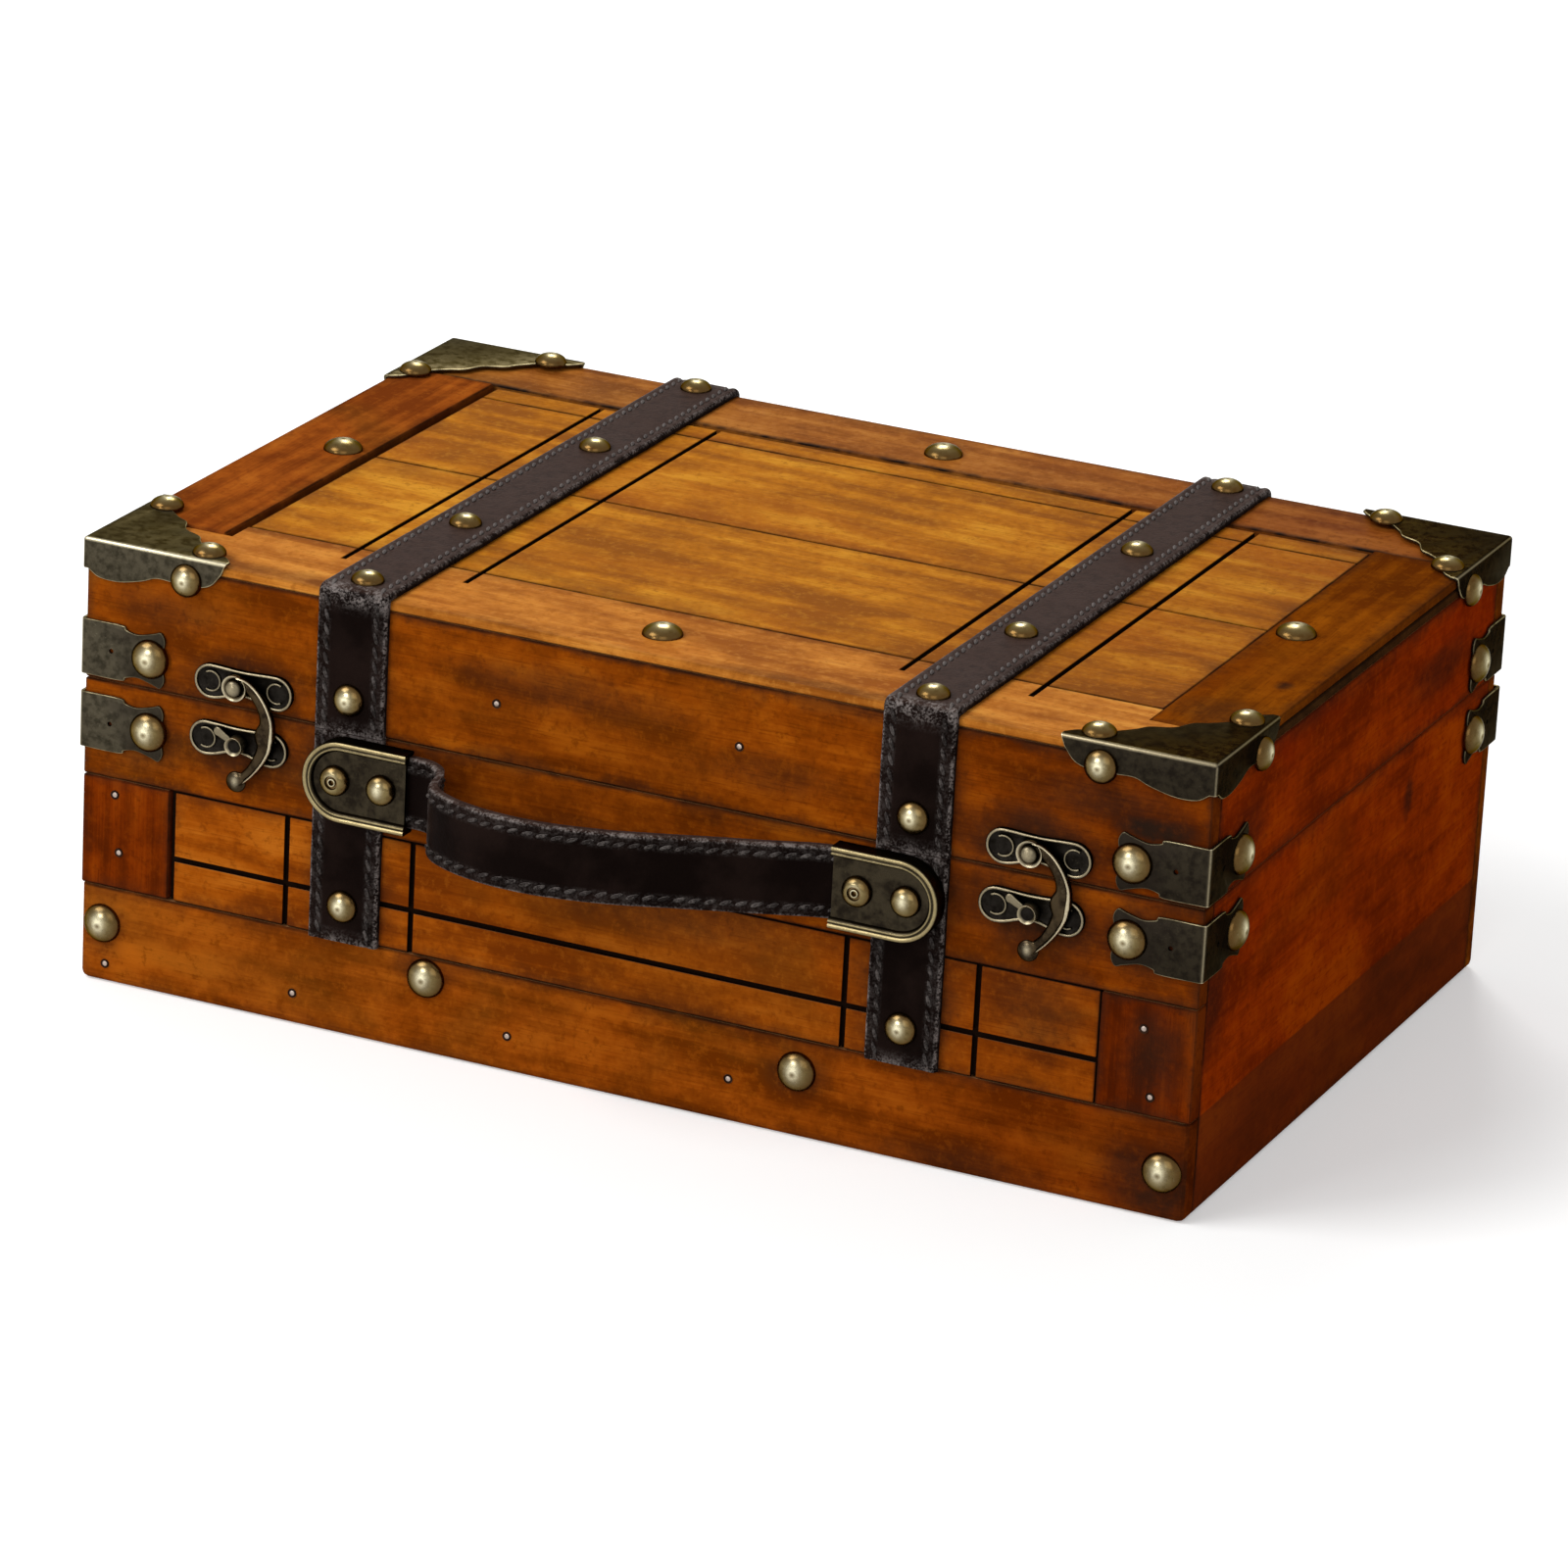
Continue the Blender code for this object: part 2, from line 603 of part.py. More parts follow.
def build_lid_planks():
    """Lay the border strips and the kerfed planks on the lid."""
    front = -HALF_DEPTH
    field_left = -HALF_LENGTH + END_STRIP + WIDE_KERF
    field_right = HALF_LENGTH - END_STRIP - FIT_GAP
    field_back = HALF_DEPTH - BACK_STRIP - WIDE_KERF
    field_front = front + FRONT_STRIP - FRONT_STRIP_NOTCH
    seam = front + TOP_SEAM_SHARE * (HALF_DEPTH - BACK_STRIP - front)
    narrow = field_back - NARROW_PLANK
    strip = board("lid_front_strip", (-HALF_LENGTH, front, PLANK_BOTTOM),
                  (HALF_LENGTH, front + FRONT_STRIP, CASE_HEIGHT), "orange", parent=LID_PIVOT)
    notch_back = front + FRONT_STRIP + OVERRUN
    notches = kerf_cutter("front_strip_notches", [
        ((-HALF_LENGTH - OVERRUN, field_front, PLANK_BOTTOM - OVERRUN),
         (field_left, notch_back, CASE_HEIGHT + OVERRUN)),
        ((field_right, field_front, PLANK_BOTTOM - OVERRUN),
         (HALF_LENGTH + OVERRUN, notch_back, CASE_HEIGHT + OVERRUN)),
    ])
    boolean(strip, notches)
    rows = {
        "lid_plank_front": (front + FRONT_STRIP + FIT_GAP, seam),
        "lid_plank_rear": (seam + FIT_GAP, narrow),
        "lid_plank_narrow": (narrow + FIT_GAP, field_back),
    }
    planks = [board(name, (field_left, near, PLANK_BOTTOM), (field_right, far, CASE_HEIGHT),
                    "amber", parent=LID_PIVOT) for name, (near, far) in rows.items()]
    kerf_floor = CASE_HEIGHT - KERF_DEPTH
    boxes = []
    for share in TOP_KERF_SHARES:
        middle = field_left + share * (field_right - field_left)
        boxes.append(((middle - KERF_WIDTH / 2, field_front, kerf_floor),
                      (middle + KERF_WIDTH / 2, field_back + OVERRUN, CASE_HEIGHT + OVERRUN)))
    kerfs = kerf_cutter("top_kerfs", boxes)
    for plank in (strip, *planks):
        boolean(plank, kerfs)
    board("lid_back_strip", (-HALF_LENGTH, HALF_DEPTH - BACK_STRIP, PLANK_BOTTOM),
          (HALF_LENGTH, HALF_DEPTH, CASE_HEIGHT), "orange", parent=LID_PIVOT)
    for side_name, side in SIDES.items():
        outer = side * HALF_LENGTH
        inner = side * (HALF_LENGTH - END_STRIP)
        board(f"lid_end_strip_{side_name}",
              (min(outer, inner), field_front + FIT_GAP, PLANK_BOTTOM),
              (max(outer, inner), HALF_DEPTH - BACK_STRIP - FIT_GAP, CASE_HEIGHT + END_STRIP_RISE),
              "russet", parent=LID_PIVOT)


def band(name, path, across, widths, thickness, edge, outward=1):
    """Sweep a flat band of leather along a path, with a width at each point, and thicken it."""
    shape = bmesh.new()
    rows = []
    for point, width in zip(path, widths):
        rows.append([shape.verts.new(point - across * width / 2),
                     shape.verts.new(point + across * width / 2)])
    for (a, b), (c, d) in zip(rows, rows[1:]):
        shape.faces.new((a, b, d, c))
    mesh = bpy.data.meshes.new(name)
    shape.to_mesh(mesh)
    shape.free()
    obj = mesh_object(name, mesh)
    solid = obj.modifiers.new("leather", "SOLIDIFY")
    solid.thickness = thickness
    solid.offset = outward
    solid.use_even_offset = True
    bevel(obj, edge, segments=2, angle=60)
    return obj


def bend_points(centre, start, end):
    """List the points of a strap's bend over an edge of the lid, in the YZ plane."""
    points = []
    for step in range(STRAP_BEND_STEPS + 1):
        angle = math.radians(start + (end - start) * step / STRAP_BEND_STEPS)
        points.append(Vector((centre.x, centre.y + STRAP_BEND * math.cos(angle),
                              centre.z + STRAP_BEND * math.sin(angle))))
    return points


def build_lid_straps():
    """Wrap the two lid straps from the front, over the top and down the back."""
    back_end = LID_FLOOR + STRAP_BACK_CLEARANCE
    high = CASE_HEIGHT + FIT_GAP - STRAP_BEND
    reach = HALF_DEPTH + FIT_GAP
    for side_name, side in SIDES.items():
        x = side * STRAP_X
        path = [Vector((x, -reach, LID_FLOOR))]
        path += bend_points(Vector((x, STRAP_BEND - reach, high)), 180, 90)
        path += bend_points(Vector((x, reach - STRAP_BEND, high)), 90, 0)
        path.append(Vector((x, reach, back_end)))
        widths = [STRAP_WIDTH] * len(path)
        strap = band(f"lid_strap_{side_name}", path, Vector((1, 0, 0)), widths,
                     STRAP_THICKNESS, STRAP_EDGE)
        finish(strap, "leather", LID_PIVOT)


def build_box_straps():
    """Lay the lower straps on the front and the back of the box."""
    widths = (STRAP_WIDTH, STRAP_WIDTH)
    for side_name, side in SIDES.items():
        x = side * STRAP_X
        front = band(f"box_strap_front_{side_name}",
                     [Vector((x, -HALF_DEPTH - FIT_GAP, BOTTOM_RAIL_HEIGHT)),
                      Vector((x, -HALF_DEPTH - FIT_GAP, SPLIT_HEIGHT))],
                     Vector((1, 0, 0)), widths, STRAP_THICKNESS, STRAP_EDGE)
        boolean(front, RIVET_HOLES)
        finish(front, "leather")
        back = band(f"box_strap_back_{side_name}",
                    [Vector((x, HALF_DEPTH + FIT_GAP, SPLIT_HEIGHT - STRAP_BACK_CLEARANCE)),
                     Vector((x, HALF_DEPTH + FIT_GAP, BOTTOM_RAIL_HEIGHT))],
                    Vector((1, 0, 0)), widths, STRAP_THICKNESS, STRAP_EDGE)
        finish(back, "leather")


def rivet_places():
    """Name the (x, z) places of the handle's rivets."""
    places = {}
    for side_name, side in SIDES.items():
        for row, offset in (("outer", CLIP_RIVET_OUTER), ("inner", -CLIP_RIVET_INNER)):
            places[f"{side_name}_{row}"] = (side * (CLIP_X + offset), CLIP_CENTRE_HEIGHT)
    return places


def rivet_hole_cutter():
    """Make the round cutters that clear the rivet shanks."""
    shape = bmesh.new()
    depth = CLIP_FACE + BOARD + 2 * OVERRUN
    for x, z in rivet_places().values():
        middle = (BOARD - CLIP_FACE) / 2 - HALF_DEPTH
        place = Matrix.Translation((x, middle, z)) @ Matrix.Rotation(math.pi / 2, 4, "X")
        bmesh.ops.create_cone(shape, cap_ends=True, segments=NAIL_STEPS,
                              radius1=RIVET_SHANK_RADIUS + FIT_GAP,
                              radius2=RIVET_SHANK_RADIUS + FIT_GAP, depth=depth, matrix=place)
    mesh = bpy.data.meshes.new("rivet_holes")
    shape.to_mesh(mesh)
    shape.free()
    return as_cutter(mesh_object("rivet_holes", mesh, CUTTERS))


RIVET_HOLES = rivet_hole_cutter()


def smooth_path(points, steps):
    """Run a smooth curve through the given points."""
    ends = [2 * points[0] - points[1], *points, 2 * points[-1] - points[-2]]
    path = []
    for index in range(1, len(ends) - 2):
        before, here, there, after = ends[index - 1:index + 3]
        for step in range(steps):
            t = step / steps
            path.append(0.5 * (2 * here + (there - before) * t
                               + (2 * before - 5 * here + 4 * there - after) * t * t
                               + (3 * here - before - 3 * there + after) * t * t * t))
    path.append(points[-1])
    return path


def handle_path():
    """List the middle line of the handle between its rounded tongues, with its widths."""
    rest = TONGUE_BACK + HANDLE_THICKNESS / 2
    y = -HALF_DEPTH - rest
    points = []
    for along, out in HANDLE_PATH_SHARES:
        x = -HANDLE_MOUTH + along * 2 * HANDLE_MOUTH
        points.append(Vector((x, y - out * (HANDLE_REACH - rest), CLIP_CENTRE_HEIGHT)))
    path = smooth_path(points, HANDLE_STEPS_PER_SPAN)
    widths = [HANDLE_HEIGHT] * len(path)
    for step in range(TONGUE_ARC_STEPS):
        angle = math.radians(TONGUE_ARC) * step / (TONGUE_ARC_STEPS - 1)
        x = TONGUE_ROUND_X + HANDLE_HEIGHT / 2 * math.sin(angle)
        width = HANDLE_HEIGHT * math.cos(angle)
        path = [Vector((-x, y, CLIP_CENTRE_HEIGHT)), *path, Vector((x, y, CLIP_CENTRE_HEIGHT))]
        widths = [width, *widths, width]
    return path, widths


def build_handle():
    """Build the bowed leather handle."""
    path, widths = handle_path()
    handle = band("handle_strap", path, Vector((0, 0, 1)), widths,
                  HANDLE_THICKNESS, HANDLE_EDGE, outward=0)
    boolean(handle, RIVET_HOLES)
    finish(smooth(handle), "leather")


def clip_outline(inset, open_overrun=0):
    """Outline a clip, inset from its edge: straight at the mouth and round at the closed end."""
    radius = CLIP_HEIGHT / 2
    bend = radius - inset
    closed = CLIP_LENGTH / 2 - radius
    mouth = -CLIP_LENGTH / 2 - open_overrun
    points = [(mouth, -bend)]
    for step in range(CLIP_ARC_STEPS + 1):
        angle = math.pi * step / CLIP_ARC_STEPS - math.pi / 2
        points.append((closed + bend * math.cos(angle), bend * math.sin(angle)))
    points.append((mouth, bend))
    return points


def placed_outline(name, points, near, far, x, z, side):
    """Stand an outline on the front face between two distances out from the wood."""
    mesh = outline_mesh(name, points, far - near)
    turn = Matrix.Diagonal((side, 1, 1, 1))
    shape = bmesh.new()
    shape.from_mesh(mesh)
    bmesh.ops.transform(shape, matrix=on_front(x, z, near) @ turn, verts=shape.verts)
    bmesh.ops.recalc_face_normals(shape, faces=shape.faces)
    shape.to_mesh(mesh)
    shape.free()
    return mesh_object(name, mesh, CUTTERS)


def build_clips():
    """Build the two metal clips that hold the ends of the handle."""
    height = CLIP_CENTRE_HEIGHT
    for side_name, side in SIDES.items():
        x = side * CLIP_X
        name = f"handle_clip_{side_name}"
        body = placed_outline(name, clip_outline(0), TONGUE_BACK, CLIP_FACE, x, height, side)
        tongue_room = placed_outline("tongue_room", clip_outline(CLIP_WALL, OVERRUN),
                                     TONGUE_BACK - OVERRUN, CLIP_FLOOR_BACK, x, height, side)
        dish = placed_outline("clip_dish", clip_outline(CLIP_RIM, OVERRUN),
                              CLIP_FLOOR_FACE, CLIP_FACE + OVERRUN, x, height, side)
        mesh = combined_mesh(body, cut=(tongue_room, dish))
        clip = mesh_object(name, mesh)
        boolean(clip, RIVET_HOLES)
        finish(smooth(clip), "bronze")


def build_handle_rivets():
    """Build the rivets that go through clip, handle, strap and rail."""
    tail_end = CLIP_FLOOR_FACE + FIT_GAP + BOARD + FIT_GAP + RIVET_TAIL_THICKNESS
    tail_start = tail_end - RIVET_TAIL_THICKNESS
    profile = [*dome_profile(RIVET_HEAD_RADIUS, RIVET_HEAD_RISE, NAIL_RINGS),
               (RIVET_SHANK_RADIUS, 0), (RIVET_SHANK_RADIUS, -tail_start),
               (RIVET_TAIL_RADIUS, -tail_start), (RIVET_TAIL_RADIUS, -tail_end), (0, -tail_end)]
    mesh = turned_mesh("handle_rivet", profile)
    for name, (x, z) in rivet_places().items():
        place = on_front(x, z, CLIP_FLOOR_FACE + FIT_GAP)
        finish(smooth(copies(f"handle_rivet_{name}", mesh, [place])), "brass")


def shell(name, faces):
    """Fold a sheet metal piece from flat faces that share edges, and thicken it inwards."""
    shape = bmesh.new()
    known = {}
    for outline in faces:
        corners = []
        for point in outline:
            key = tuple(round(value / MERGE_DISTANCE) for value in point)
            if key not in known:
                known[key] = shape.verts.new(point)
            corners.append(known[key])
        shape.faces.new(corners)
    bmesh.ops.recalc_face_normals(shape, faces=shape.faces)
    mesh = bpy.data.meshes.new(name)
    shape.to_mesh(mesh)
    shape.free()
    obj = mesh_object(name, mesh, CUTTERS)
    bevel(obj, SHEET_BEND, segments=2, angle=60)
    solid = obj.modifiers.new("sheet", "SOLIDIFY")
    solid.thickness = SHEET
    solid.offset = -1
    solid.use_even_offset = True
    return baked_mesh(obj, name)


def cap_shell():
    """Make a corner cap whose outer corner is at zero and whose legs run to +X, +Y and -Z."""
    leg = CAP_LEG
    top = [(0, 0, 0), (leg, 0, 0)]
    top += [(leg * along, leg * across, 0) for along, across in CAP_TOP_SHARES]
    top.append((0, leg, 0))
    skirt = [(leg * along, -CAP_SKIRT * down) for along, down in CAP_SKIRT_SHARES]
    front = [(0, 0, 0), (leg, 0, 0)]
    front += [(along, 0, down) for along, down in skirt]
    front.append((0, 0, -CAP_SKIRT * CAP_SKIRT_SHARES[-1][1]))
    side = [(across, along, down) for along, across, down in front]
    return shell("corner_cap", [top, front, side])


def corner_place(side_x, side_y, height):
    """Give the frame of a piece that wraps a vertical corner, mirrored to suit the corner."""
    corner = (side_x * (HALF_LENGTH + SHEET_FACE), side_y * (HALF_DEPTH + SHEET_FACE), height)
    return Matrix.Translation(corner) @ Matrix.Diagonal((-side_x, -side_y, 1, 1))


CORNERS = {
    "front_left": (-1, -1), "front_right": (1, -1), "back_left": (-1, 1), "back_right": (1, 1),
}


def build_caps():
    """Build the four sheet metal caps on the corners of the lid, each with its nails."""
    mesh = cap_shell()
    nail = nail_mesh("cap_nail", CAP_NAIL_RADIUS, CAP_NAIL_RISE)
    lift = SHEET_FACE + END_STRIP_RISE
    height = CASE_HEIGHT - CAP_NAIL_EDGE
    for corner, (side_x, side_y) in CORNERS.items():
        place = corner_place(side_x, side_y, CASE_HEIGHT + lift)
        cap = smooth(copies(f"lid_corner_cap_{corner}", mesh, [place]))
        top_x = side_x * (HALF_LENGTH - CAP_NAIL_TOP_ALONG)
        top_y = side_y * (HALF_DEPTH - CAP_NAIL_TOP_ALONG)
        skirt_x = side_x * (HALF_LENGTH - CAP_NAIL_SKIRT_ALONG)
        skirt_y = side_y * (HALF_DEPTH - CAP_NAIL_SKIRT_ALONG)
        face = on_front if side_y < 0 else on_back
        nail_down(cap, nail, [
            on_top(top_x, side_y * (HALF_DEPTH - CAP_NAIL_EDGE), lift),
            on_top(side_x * (HALF_LENGTH - CAP_NAIL_EDGE), top_y, lift),
            face(skirt_x, height, SHEET_FACE),
            on_side(side_x, skirt_y, height, SHEET_FACE),
        ])
        finish(cap, "bronze", LID_PIVOT)


def bracket_shell():
    """Make a folded corner bracket from a pair of fishtailed flanges."""
    half = BRACKET_HEIGHT / 2
    upper = [(BRACKET_LENGTH * along, half * rise) for along, rise in BRACKET_SHARES]
    lower = [(along, -rise) for along, rise in reversed(upper)]
    front = [(along, 0, rise) for along, rise in (*upper, *lower)]
    side = [(0, along, rise) for along, _, rise in front]
    return shell("corner_bracket", [front, side])


def build_brackets():
    """Build the corner brackets above and below the split, each with its two nails."""
    mesh = bracket_shell()
    nail = nail_mesh("bracket_nail", BRACKET_NAIL_RADIUS, NAIL_RISE)
    heights = {
        "lid": (LID_FLOOR + BRACKET_SPLIT_CLEARANCE + BRACKET_HEIGHT / 2, LID_PIVOT),
        "box": (SPLIT_HEIGHT - BRACKET_BOX_CLEARANCE - BRACKET_HEIGHT / 2, None),
    }
    for half_name, (height, parent) in heights.items():
        for corner, (side_x, side_y) in CORNERS.items():
            place = corner_place(side_x, side_y, height)
            bracket = smooth(copies(f"{half_name}_corner_bracket_{corner}", mesh, [place]))
            x = side_x * (HALF_LENGTH - BRACKET_NAIL_ALONG)
            y = side_y * (HALF_DEPTH - BRACKET_NAIL_ALONG)
            face = on_front if side_y < 0 else on_back
            nail_down(bracket, nail, [face(x, height, SHEET_FACE),
                                      on_side(side_x, y, height, SHEET_FACE)])
            finish(bracket, "bronze", parent)


def nail_boards():
    """Drive the decorative nails into the front rail and into the border of the lid."""
    nail = nail_mesh("board_nail", NAIL_RADIUS, NAIL_RISE)
    rail = [on_front((2 * along - 1) * HALF_LENGTH, up * BOTTOM_RAIL_HEIGHT, 0)
            for along, up in RAIL_NAIL_SHARES]
    places = {
        "box_front_bottom_rail": rail,
        "lid_front_strip": [on_top(0, BORDER_NAIL_INSET - HALF_DEPTH, 0)],
        "lid_back_strip": [on_top(0, HALF_DEPTH - BORDER_NAIL_INSET, 0)],
        "lid_end_strip_left": [on_top(END_NAIL_INSET - HALF_LENGTH, 0, END_STRIP_RISE)],
        "lid_end_strip_right": [on_top(HALF_LENGTH - END_NAIL_INSET, 0, END_STRIP_RISE)],
    }
    for name, spots in places.items():
        nail_down(bpy.data.objects[name], nail, spots)


def nail_straps():
    """Nail the straps to the boards under them."""
    nail = nail_mesh("strap_nail", STRAP_NAIL_RADIUS, STRAP_NAIL_RISE)
    low = LID_FLOOR + LID_STRAP_NAIL_LIFT
    ends = (STRAP_TOP_NAIL_EDGE - HALF_DEPTH, HALF_DEPTH - STRAP_TOP_NAIL_EDGE)
    middles = [(2 * share - 1) * HALF_DEPTH for share in STRAP_TOP_NAIL_SHARES]
    for side_name, side in SIDES.items():
        x = side * STRAP_X
        lid = [on_front(x, low, STRAP_FACE), on_back(x, low, STRAP_FACE)]
        lid += [on_top(x, y, STRAP_FACE) for y in (*ends, *middles)]
        nail_down(bpy.data.objects[f"lid_strap_{side_name}"], nail, lid)
        for face_name, face in (("front", on_front), ("back", on_back)):
            strap = bpy.data.objects[f"box_strap_{face_name}_{side_name}"]
            nail_down(strap, nail, [face(x, BOX_STRAP_NAIL_HEIGHT, STRAP_FACE)])


def moustache_outline():
    """Outline a latch plate: two round lobes joined by a waist."""
    lobe = LATCH_LOBE_RADIUS
    centre = LATCH_SPAN / 2 - lobe
    points = []
    for end in (1, -1):
        for step in range(LATCH_ARC_STEPS + 1):
            angle = math.pi * (step / LATCH_ARC_STEPS - 0.5)
            points.append((end * (centre + lobe * math.cos(angle)), end * lobe * math.sin(angle)))
        waist = LATCH_WAIST_TOP_SHARE if end > 0 else LATCH_WAIST_BOTTOM_SHARE
        for step in range(1, LATCH_ARC_STEPS):
            swing = math.pi * (1 - 2 * step / LATCH_ARC_STEPS)
            height = waist + (1 - waist) * (1 - math.cos(swing)) / 2
            x = end * centre * (1 - 2 * step / LATCH_ARC_STEPS)
            points.append((x, end * lobe * height))
    return points


def build_latch(side_name, x):
    """Build one latch: its lid plate, hook and pivot, and its catch plate with a stud."""
    plate_mesh = outline_mesh("latch_plate", moustache_outline(), LATCH_PLATE)
    plate = copies(f"latch_plate_{side_name}", plate_mesh, [on_front(x, PLATE_HEIGHT, FIT_GAP)])
    finish(plate, "dark_bronze", LID_PIVOT)
    build_catch(side_name, x - CATCH_SHIFT, plate_mesh)
    build_hook(side_name, x - PIVOT_SHIFT)
    build_hook_rivet(side_name, x - PIVOT_SHIFT)


def build_catch(side_name, x, plate_mesh):
    """Build the plate below the split, with the stud and its short arm in one piece."""
    name = f"latch_catch_{side_name}"
    base = copies(name, plate_mesh, [on_front(x, CATCH_HEIGHT, FIT_GAP)], CUTTERS)
    root = -HALF_DEPTH - FIT_GAP - LATCH_PLATE / 2
    face = -HALF_DEPTH - LATCH_PLATE_FACE - STUD_RISE
    stud = cylinder("stud", STUD_RADIUS, (x, root, CATCH_HEIGHT), (x, face, CATCH_HEIGHT),
                    NAIL_STEPS, CUTTERS)
    arm_face = -HALF_DEPTH - LATCH_PLATE_FACE - STUD_RISE / 2
    arm = block("stud_arm", (x - STUD_ARM, arm_face, CATCH_HEIGHT - STUD_ARM_WIDTH / 2),
                (x, root, CATCH_HEIGHT + STUD_ARM_WIDTH / 2), CUTTERS)
    mesh = combined_mesh(base, joined=(stud, arm))
    finish(smooth(mesh_object(name, mesh)), "dark_bronze")


def hook_points():
    """List the hook's middle line below its pivot, with a thickness share at each point."""
    points = []
    shares = []
    for out, down, share in HOOK_PATH_SHARES:
        points.append(Vector((out * HOOK_BULGE, 0, -down * HOOK_DROP)))
        shares.append(Vector((share, 0, 0)))
    path = smooth_path(points, HOOK_STEPS_PER_SPAN)
    widths = [value.x for value in smooth_path(shares, HOOK_STEPS_PER_SPAN)]
    return path, widths


def build_hook(side_name, x):
    """Build the swinging hook on its pivot axis, flattened from a tapered bar."""
    name = f"latch_hook_{side_name}"
    middle = -HALF_DEPTH - (HOOK_BACK + HOOK_FACE) / 2
    axis = Vector((x, middle, PLATE_HEIGHT))
    hook_pivot = pivot(f"hook_{side_name}_pivot", axis, LID_PIVOT)
    curve = bpy.data.curves.new(name, "CURVE")
    curve.dimensions = "3D"
    curve.bevel_depth = HOOK_RADIUS
    curve.bevel_resolution = 2
    curve.use_fill_caps = True
    spline = curve.splines.new("POLY")
    path, widths = hook_points()
    spline.points.add(len(path) - 1)
    for point, place, width in zip(spline.points, path, widths):
        point.co = (*place, 1)
        point.radius = width
    bar = bpy.data.objects.new(name, curve)
    CUTTERS.objects.link(bar)
    bar_mesh = baked_mesh(bar, name)
    base = mesh_object(name, bar_mesh, CUTTERS)
    half = HOOK_THICKNESS / 2
    shape = bmesh.new()
    shape.from_mesh(bar_mesh)
    for vertex in shape.verts:
        vertex.co.y = max(-half, min(half, vertex.co.y * HOOK_THICKNESS / (2 * HOOK_RADIUS)))
    shape.to_mesh(bar_mesh)
    shape.free()
    eye = cylinder("hook_eye", HOOK_EYE_RADIUS, (0, half, 0), (0, -half, 0), NAIL_STEPS, CUTTERS)
    tip = path[-1]
    knob = cylinder("hook_knob", HOOK_KNOB_RADIUS, (tip.x, half, tip.z), (tip.x, -half, tip.z),
                    NAIL_STEPS, CUTTERS)
    bore_end = half + OVERRUN
    bore = cylinder("hook_bore", PIVOT_SHANK_RADIUS + FIT_GAP, (0, bore_end, 0),
                    (0, -bore_end, 0), NAIL_STEPS, CUTTERS)
    mesh = combined_mesh(base, joined=(eye, knob), cut=(bore,))
    hook = mesh_object(name, mesh)
    hook.location = axis
    finish(smooth(hook), "dark_bronze", hook_pivot)


def build_hook_rivet(side_name, x):
    """Build the rivet that a hook swings on, through the eye and down to its plate."""
    shank = HOOK_FACE + FIT_GAP - HOOK_BACK
    profile = [*dome_profile(PIVOT_HEAD_RADIUS, PIVOT_HEAD_RISE, NAIL_RINGS),
               (PIVOT_SHANK_RADIUS, 0), (PIVOT_SHANK_RADIUS, -shank), (0, -shank)]
    mesh = turned_mesh("latch_pivot", profile)
    place = on_front(x, PLATE_HEIGHT, HOOK_FACE + FIT_GAP)
    rivet = copies(f"latch_pivot_{side_name}", mesh, [place])
    finish(smooth(rivet), "dark_bronze", LID_PIVOT)


def leaf_mesh(name, up, own_knuckles):
    """Make one hinge leaf about an axis at zero, with its own knuckles out of three."""
    back = -KNUCKLE_RADIUS
    face = back + LEAF_SHEET
    near = up * (KNUCKLE_RADIUS + FIT_GAP)
    far = up * LEAF_HEIGHT
    half = LEAF_WIDTH / 2
    plate = block(name, (-half, back, min(near, far)), (half, face, max(near, far)), CUTTERS)
    length = LEAF_WIDTH * KNUCKLE_SHARE
    middle = half - length
    spans = {"first": (-half, -middle), "centre": (-middle + FIT_GAP, middle - FIT_GAP),
             "last": (middle, half)}
    joined = []
    for knuckle in own_knuckles:
        low, high = spans[knuckle]
        tab_far = near + up * LEAF_SHEET
        joined.append(block("tab", (low, back, min(0, tab_far)), (high, face, max(0, tab_far)),
                            CUTTERS))
        joined.append(cylinder("knuckle", KNUCKLE_RADIUS, (low, 0, 0), (high, 0, 0),
                               KNUCKLE_SIDES, CUTTERS))
    bore = cylinder("bore", PIN_RADIUS + BORE_CLEARANCE, (-half - OVERRUN, 0, 0),
                    (half + OVERRUN, 0, 0), KNUCKLE_SIDES, CUTTERS)
    return combined_mesh(plate, joined=joined, cut=(bore,))


def build_hinges():
    """Build the two butt hinges: lid leaves, box leaves and pins."""
    lid_leaf = leaf_mesh("lid_leaf", 1, ("centre",))
    box_leaf = leaf_mesh("box_leaf", -1, ("first", "last"))
    pin = cylinder("hinge_pin", PIN_RADIUS, (-LEAF_WIDTH / 2, 0, 0), (LEAF_WIDTH / 2, 0, 0),
                   KNUCKLE_SIDES, CUTTERS)
    pin_mesh = baked_mesh(pin, "hinge_pin")
    for side_name, side in SIDES.items():
        axis = [Matrix.Translation((side * HINGE_X, HINGE_AXIS_Y, HINGE_AXIS_Z))]
        lid = copies(f"hinge_lid_leaf_{side_name}", lid_leaf, axis)
        finish(smooth(lid), "bronze", LID_PIVOT)
        finish(smooth(copies(f"hinge_box_leaf_{side_name}", box_leaf, axis)), "bronze")
        finish(smooth(copies(f"hinge_pin_{side_name}", pin_mesh, axis)), "bronze")


def main():
    """Build the whole case."""
    build_box_boards()
    boolean(bpy.data.objects["box_front_top_rail"], RIVET_HOLES)
    build_lid_boards()
    build_lid_planks()
    build_lid_straps()
    build_box_straps()
    build_handle()
    build_clips()
    build_handle_rivets()
    build_caps()
    build_brackets()
    nail_boards()
    nail_straps()
    for side_name, x in LATCHES.items():
        build_latch(side_name, x)
    build_hinges()


main()
